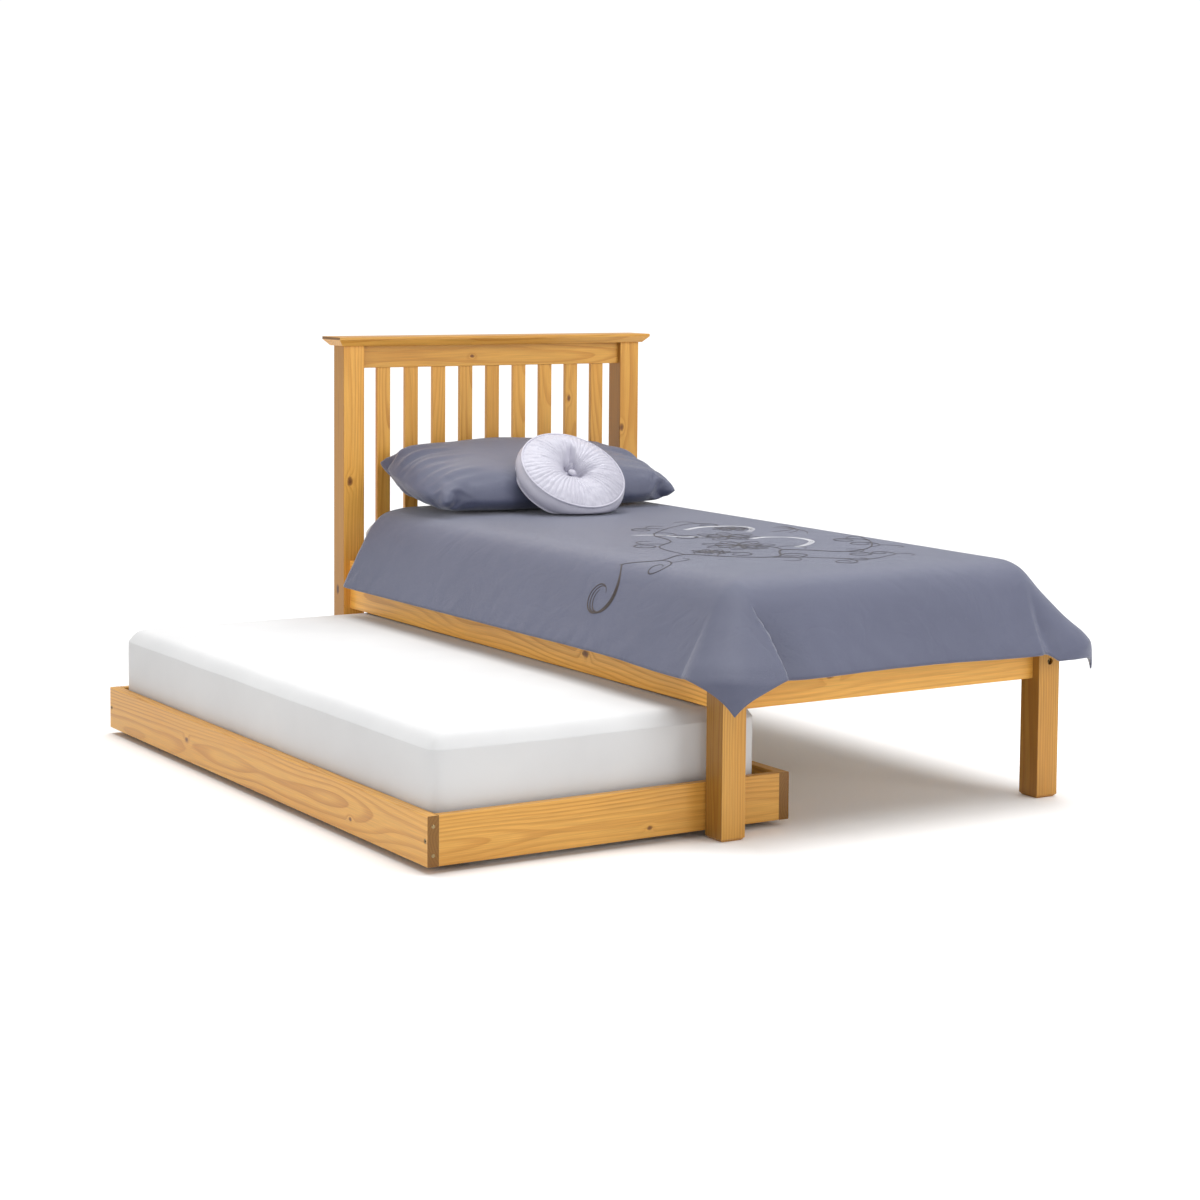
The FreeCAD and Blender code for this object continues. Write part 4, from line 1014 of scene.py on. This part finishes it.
def make_cushion(material):
    """A gathered disc each side of a plain band, drawn down to a covered button."""
    spokes = CUSHION_PLEATS * 8
    draw = random.Random(11)
    depth = [draw.uniform(0.35, 1.0) for _ in range(CUSHION_PLEATS)]
    tucks = [(draw.uniform(0, 2 * math.pi), draw.uniform(0.4, 1.0), draw.uniform(0.35, 0.85),
              draw.uniform(-0.5, 0.5)) for _ in range(CUSHION_TUCKS)]
    bm = bmesh.new()
    rows = [("face", 1, n / CUSHION_FACE_ROWS) for n in range(CUSHION_FACE_ROWS + 1)]
    rows += [("band", 1, n / 8) for n in range(1, 8)]
    rows += [("face", -1, 1 - n / CUSHION_FACE_ROWS) for n in range(CUSHION_FACE_ROWS + 1)]
    rings = []
    for kind, side, t in rows:
        ring = []
        for s, turn in enumerate(turns(spokes)):
            east, north = math.cos(turn), math.sin(turn)
            if kind == "face":
                radius = lerp(0.009, CUSHION_RADIUS, t)
                level = CUSHION_HALF_THICK + cushion_crown(t)
                wander = 0.5 * ripple(2 * east, 2 * north, t * 2.0, 31 + side)
                which = s * CUSHION_PLEATS / spokes + wander
                pleat = int(which) % CUSHION_PLEATS
                crest = abs(math.sin(math.pi * (which - math.floor(which)))) ** 0.7
                level += (crest - 0.62) * depth[pleat] * PLEAT_DEPTH * pleat_reach(t)
                for spot, strength, reach, bend in tucks:
                    off = math.remainder(turn - spot - bend * t, 2 * math.pi) * max(t, 0.12) / TUCK_WIDTH
                    level -= (strength * TUCK_DEPTH * math.exp(-off * off) * ramp(t, 0.0, 0.08)
                              * ramp(reach - t, 0.0, 0.35))
                level += 0.0022 * ripple(9 * t * east, 9 * t * north, side, 33) * ramp(t, 0.1, 0.4)
                level *= side
            else:
                radius = CUSHION_RADIUS + 0.010 * math.sin(math.pi * t)
                radius += 0.0016 * ripple(5 * east, 5 * north, t * 2, 6)
                level = lerp(CUSHION_HALF_THICK, -CUSHION_HALF_THICK, t)
            ring.append(bm.verts.new((radius * east, radius * north, level)))
        rings.append(ring)
    cushion = joined("cushion_cover", bm, rings)
    place = cushion_place()
    settle_cushion(cushion, place)
    dress(cushion, material)
    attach(cushion, "bed")
    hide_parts("round_cushion")
    for name, side in (("cushion_piping_front", 1), ("cushion_piping_back", -1)):
        cord = ring_tube(name, CUSHION_RADIUS + 0.001, side * (CUSHION_HALF_THICK + 0.0005), PIPING, 160)
        settle_cushion(cord, place)
        dress(cord, material)
        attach(cord, "bed")
    make_button(material, place)


def ring_tube(name, radius, level, thick, steps):
    bm = bmesh.new()
    rings = []
    for a in turns(steps):
        rings.append([bm.verts.new(((radius + thick * math.cos(b)) * math.cos(a),
                                    (radius + thick * math.cos(b)) * math.sin(a),
                                    level + thick * math.sin(b))) for b in turns(10)])
    return joined(name, bm, rings, closed=True)


def make_button(material, place):
    """The covered button: a low dome whose cloth is gathered under its edge."""
    bm = bmesh.new()
    rings = []
    for radius, level in BUTTON_PROFILE:
        ring = []
        for a in turns(96):
            r = radius + 0.0004 * math.sin(14 * a) * ramp(radius, 0.004, 0.012)
            ring.append(bm.verts.new((r * math.cos(a), r * math.sin(a), level)))
        rings.append(ring)
    button = joined("cushion_button_cover", bm, rings)
    raised = place @ Matrix.Translation((0, 0, CUSHION_HALF_THICK - CUSHION_DIMPLE + 0.007))
    for v in button.data.vertices:
        v.co = raised @ v.co
    dress(button, material)
    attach(button, "bed")
    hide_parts("cushion_button")


# ---- mattresses

MATTRESS_CELL = 0.022
# how round the mattresses' long edges are, and how much of that the top and the underside take
BROW = 0.036
BROW_TOP = 0.9
BROW_UNDER = 0.5
# the sheet's unevenness: the top's swell, and the sides' broad and fine pulls
TOP_SWELL = 0.0016
BROAD_PULL = 0.0022
FINE_PULL = 0.0012


def make_mattress(name, node, body, material, seed, crown, bulge, corner):
    """A mattress in its fitted sheet: crowned on top, soft at the corners, tucked under."""
    low, high = corners(node)
    size = high - low
    middle = (low + high) / 2
    counts = [max(4, round(size[k] / MATTRESS_CELL)) for k in range(3)]
    bm = bmesh.new()
    spots = {}

    def vert(i, j, k):
        if (i, j, k) not in spots:
            spots[i, j, k] = bm.verts.new([(n / counts[a] - 0.5) * size[a]
                                           for a, n in enumerate((i, j, k))])
        return spots[i, j, k]

    for axis in range(3):
        b, c = (axis + 1) % 3, (axis + 2) % 3
        for end in (0, counts[axis]):
            for m in range(counts[b]):
                for n in range(counts[c]):
                    quad = []
                    for db, dc in ((0, 0), (1, 0), (1, 1), (0, 1)):
                        index = [0, 0, 0]
                        index[axis], index[b], index[c] = end, m + db, n + dc
                        quad.append(vert(*index))
                    bm.faces.new(quad if end else quad[::-1])
    half = size / 2
    for v in bm.verts:
        inner = Vector((max(-half.x + corner, min(half.x - corner, v.co.x)),
                        max(-half.y + corner, min(half.y - corner, v.co.y)), 0))
        flat = Vector((v.co.x, v.co.y, 0)) - inner
        if flat.length > corner:
            flat = flat.normalized() * corner
        v.co.x, v.co.y = inner.x + flat.x, inner.y + flat.y
        near = corner - flat.length if flat.length > 0 else corner
        side_gap = min(half.x - abs(v.co.x), half.y - abs(v.co.y), near)
        drop = max(0.0, BROW - side_gap)
        edge = BROW - math.sqrt(max(0.0, BROW * BROW - drop * drop))
        if v.co.z > half.z - BROW:
            v.co.z = min(v.co.z, half.z - edge * BROW_TOP)
        if v.co.z < -half.z + BROW:
            v.co.z = max(v.co.z, -half.z + edge * BROW_UNDER)
    mattress = mesh_object(name, bm)
    before = [v.co.copy() for v in mattress.data.vertices]
    run_cloth(mattress, 12, quality=5, mass=0.6, tension_stiffness=40.0,
              compression_stiffness=40.0, shear_stiffness=15.0, bending_stiffness=2.0,
              use_pressure=True, uniform_pressure_force=4.0, air_damping=4.0)
    for v, old in zip(mattress.data.vertices, before):
        step = v.co - old
        if step.length > bulge:
            step = step.normalized() * bulge
        p = old + step
        p.z = max(p.z, -half.z)
        reach = max(0.0, 1 - (p.x / half.x) ** 2) * max(0.0, 1 - (p.y / half.y) ** 2)
        if p.z > 0:
            p.z = min(p.z, half.z + bulge * 0.3) + crown * reach ** 0.5
            p.z += TOP_SWELL * ripple(p.x * 4, p.y * 4, 0, seed)
        side = ramp(half.z * 0.9 - p.z, 0.0, 0.05)
        along = p.y if abs(p.x) / half.x > abs(p.y) / half.y else p.x
        pull = BROAD_PULL * side * ripple(along * 11, p.z * 2.2, 1, seed)
        pull += FINE_PULL * side * ripple(along * 31, p.z * 5.0, 2, seed)
        out = Vector(((p.x / half.x) ** 9, (p.y / half.y) ** 9, 0))
        if out.length > 1e-4:
            p += out.normalized() * pull
        v.co = middle + p
    subdivide(mattress, 2)
    dress(mattress, material)
    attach(mattress, body)
    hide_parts(node)


# ---- embroidery

def spiral(start, heading, length, first, last, steps=46):
    """A curve whose bend changes evenly along it, as a vine or a tendril grows."""
    x, y = start
    points = [(x, y)]
    step = length / steps
    for n in range(steps):
        bend = lerp(first, last, (n + 0.5) / steps)
        heading += bend * step
        x += step * math.cos(heading)
        y += step * math.sin(heading)
        points.append((x, y))
    return points


def through(points, steps=12):
    """A smooth curve through points."""
    keys = [(n, x, y) for n, (x, y) in enumerate(points)]
    count = steps * (len(points) - 1)
    return [tuple(eased(keys, n / steps)) for n in range(count + 1)]


def petal(middle, turn, length, width, steps=14):
    points = []
    for n in range(steps + 1):
        a = 2 * math.pi * n / steps
        along = length * (0.5 - 0.5 * math.cos(a))
        across = width * math.sin(a) * (0.4 + 0.6 * math.sin(a / 2))
        points.append((middle[0] + along * math.cos(turn) - across * math.sin(turn),
                       middle[1] + along * math.sin(turn) + across * math.cos(turn)))
    return points


def from_above(x, y):
    """Where a row of stitches is aimed from, and which way: straight down on the top."""
    return at(x, y, 1.2), Vector((0, 0, -1))


def from_left(x, y):
    """The same for the left slope: x runs down the slope, towards the hem, and y along the bed."""
    return at(-0.478 - 0.42 * x - 0.45, y, 0.560 - 0.91 * x + 0.21), Vector((0.91, 0, -0.42))


def stitch(name, lines, surface, material, thick, aim=from_above, body="bed"):
    """Raised rows of thread laid on a surface."""
    bm = bmesh.new()
    for line, scale in lines:
        rings = []
        landed = []
        for x, y in line:
            hit = surface.ray_cast(*aim(x, y))
            if hit[0] is not None:
                landed.append((hit[0], hit[1]))
        for n, (spot, normal) in enumerate(landed):
            ahead = landed[min(n + 1, len(landed) - 1)][0] - landed[max(n - 1, 0)][0]
            if ahead.length < 1e-6:
                continue
            ahead.normalize()
            across = ahead.cross(normal).normalized()
            up = across.cross(ahead).normalized()
            if up.dot(normal) < 0:
                up = -up
            t = n / max(1, len(landed) - 1)
            girth = thick * scale * (0.35 + 0.65 * math.sin(math.pi * min(1.0, 0.08 + t * 0.92)) ** 0.5)
            ring = []
            for a in turns(6):
                ring.append(bm.verts.new(spot + across * girth * 1.5 * math.cos(a)
                                         + up * girth * 0.55 * (math.sin(a) + 0.35)))
            rings.append(ring)
        if len(rings) < 2:
            continue
        for near, far in zip(rings, rings[1:]):
            bridge(bm, near, far)
        bm.faces.new(rings[0][::-1])
        bm.faces.new(rings[-1])
    bmesh.ops.recalc_face_normals(bm, faces=bm.faces)
    piece = mesh_object(name, bm)
    dress(piece, material)
    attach(piece, body)


def scroll(start, heading, size, hand):
    """A C-scroll: a stem that winds up into a spiral, with a second shorter one beside it."""
    stem = spiral(start, heading, size * 2.5, hand * 0.6 / size, hand * 5.6 / size)
    inner = spiral(stem[10], heading - hand * 0.5, size, -hand * 1.2 / size, -hand * 5.0 / size, 26)
    return [(stem, 1.0), (inner, 0.75)]


def make_embroidery(duvet):
    mesh = evaluated_mesh(duvet)
    surface = BVHTree.FromPolygons([v.co for v in mesh.vertices], [p.vertices for p in mesh.polygons])
    bpy.data.meshes.remove(mesh)
    taupe = thread("thread_taupe", (0.048, 0.042, 0.052, 1.0))
    brown = thread("thread_brown", (0.055, 0.038, 0.034, 1.0))
    white = thread("thread_white", (0.780, 0.780, 0.820, 1.0), 0.3)

    vine = through(((-0.435, -0.45), (-0.38, -0.55), (-0.29, -0.52), (-0.21, -0.62), (-0.11, -0.66),
                    (-0.02, -0.56), (0.09, -0.65), (0.20, -0.62), (0.30, -0.50), (0.36, -0.36)))
    branch = through(((-0.11, -0.66), (-0.03, -0.74), (0.06, -0.80), (0.16, -0.77)))
    upper = through(((-0.29, -0.52), (-0.26, -0.36), (-0.16, -0.26), (-0.12, -0.12), (-0.02, -0.02),
                     (0.10, 0.06)))
    vines = [(vine, 1.25), (branch, 1.0), (upper, 1.0)]
    # each scroll: the line it grows from, how far along it, its heading, size and hand
    for line, share, turn, size, hand in (
            (vine, 0.12, -1.3, 0.085, -1), (vine, 0.30, 1.1, 0.105, -1), (vine, 0.42, -0.9, 0.110, 1),
            (vine, 0.55, 0.9, 0.120, 1), (vine, 0.66, -0.3, 0.100, -1), (vine, 0.80, 0.2, 0.110, 1),
            (vine, 0.92, 1.9, 0.095, 1), (branch, 0.45, -1.0, 0.085, -1), (branch, 0.98, 0.4, 0.080, 1),
            (upper, 0.30, 2.4, 0.100, 1), (upper, 0.55, 0.3, 0.110, -1), (upper, 0.80, 1.9, 0.095, 1),
            (upper, 0.98, 0.5, 0.100, -1)):
        vines += scroll(line[int(share * (len(line) - 1))], turn, size, hand)
    stitch("duvet_embroidery_vines", vines, surface, taupe, 0.0015)

    buds = []
    for x, y, size in ((-0.06, -0.42, 0.095), (0.03, -0.24, 0.090), (-0.20, -0.50, 0.050),
                       (0.15, -0.09, 0.055)):
        for n in range(7):
            turn = 2 * math.pi * n / 7 + x * 7
            for inset in (1.0, 0.66):
                buds.append((petal((x, y), turn, size * inset, size * 0.26 * inset), 1.0))
        buds.append((petal((x - 0.012, y), 0.0, 0.024, 0.012), 1.2))
    stitch("duvet_embroidery_flowers", buds, surface, taupe, 0.0011)

    curls = [(spiral((-0.030 + inset, -0.455 - inset), 2.2 - math.pi, 0.34 - 8.0 * inset, 6.0, 34.0, 72),
              1.2) for inset in (0.0, 0.006, 0.012)]
    stitch("duvet_embroidery_curls", curls, surface, brown, 0.0013, from_left)
    tendrils = [(spiral((0.20 + 0.03 * n, -0.20 - 0.040 * n), 0.4 * n, 0.19, 4.0, 16.0, 40), 0.9)
                for n in range(3)]
    stitch("duvet_embroidery_tendrils", tendrils, surface, brown, 0.0012)

    ribbons = []
    for path, scale in (
            (((0.06, -0.31), (0.11, -0.30), (0.16, -0.34), (0.17, -0.41), (0.13, -0.47),
              (0.04, -0.53)), 1.5),
            (((0.02, -0.06), (0.10, -0.02), (0.19, -0.04), (0.20, -0.11), (0.14, -0.18)), 1.3),
            (((-0.17, -0.10), (-0.11, -0.13), (-0.08, -0.19), (-0.03, -0.21)), 1.0)):
        for side in (-0.004, 0.0, 0.004):
            ribbons.append((through([(x + side, y - side) for x, y in path]), scale))
    stitch("duvet_embroidery_ribbons", ribbons, surface, white, 0.0010)


# ---- the whole scene

def make_object():
    finish_wood()
    finish_fittings()
    make_end_plugs()
    cotton = cloth("pressed_cotton", (0.079, 0.087, 0.144, 1.0), (0.096, 0.105, 0.169, 1.0), 0.42, 0.80,
                   0.0011, crease=0.004)
    sheet = cloth("white_jersey", (0.61, 0.61, 0.615, 1.0), (0.675, 0.675, 0.675, 1.0), 0.85, 0.015,
                  0.0014, nap=520.0)
    satin = cloth("pleated_satin", (0.46, 0.45, 0.53, 1.0), (0.63, 0.62, 0.71, 1.0), 0.28, 0.08, 0.0009)
    make_mattress("mattress_in_sheet", "mattress", "bed", sheet, seed=4, crown=0.002,
                  bulge=0.006, corner=0.055)
    make_mattress("trundle_mattress_in_sheet", "trundle_mattress", "trundle", sheet, seed=9,
                  crown=0.003, bulge=0.012, corner=0.034)
    duvet = make_duvet(cotton)
    make_embroidery(duvet)
    make_pillow(cotton)
    make_cushion(satin)


make_camera()
make_studio()
make_floor()
make_object()
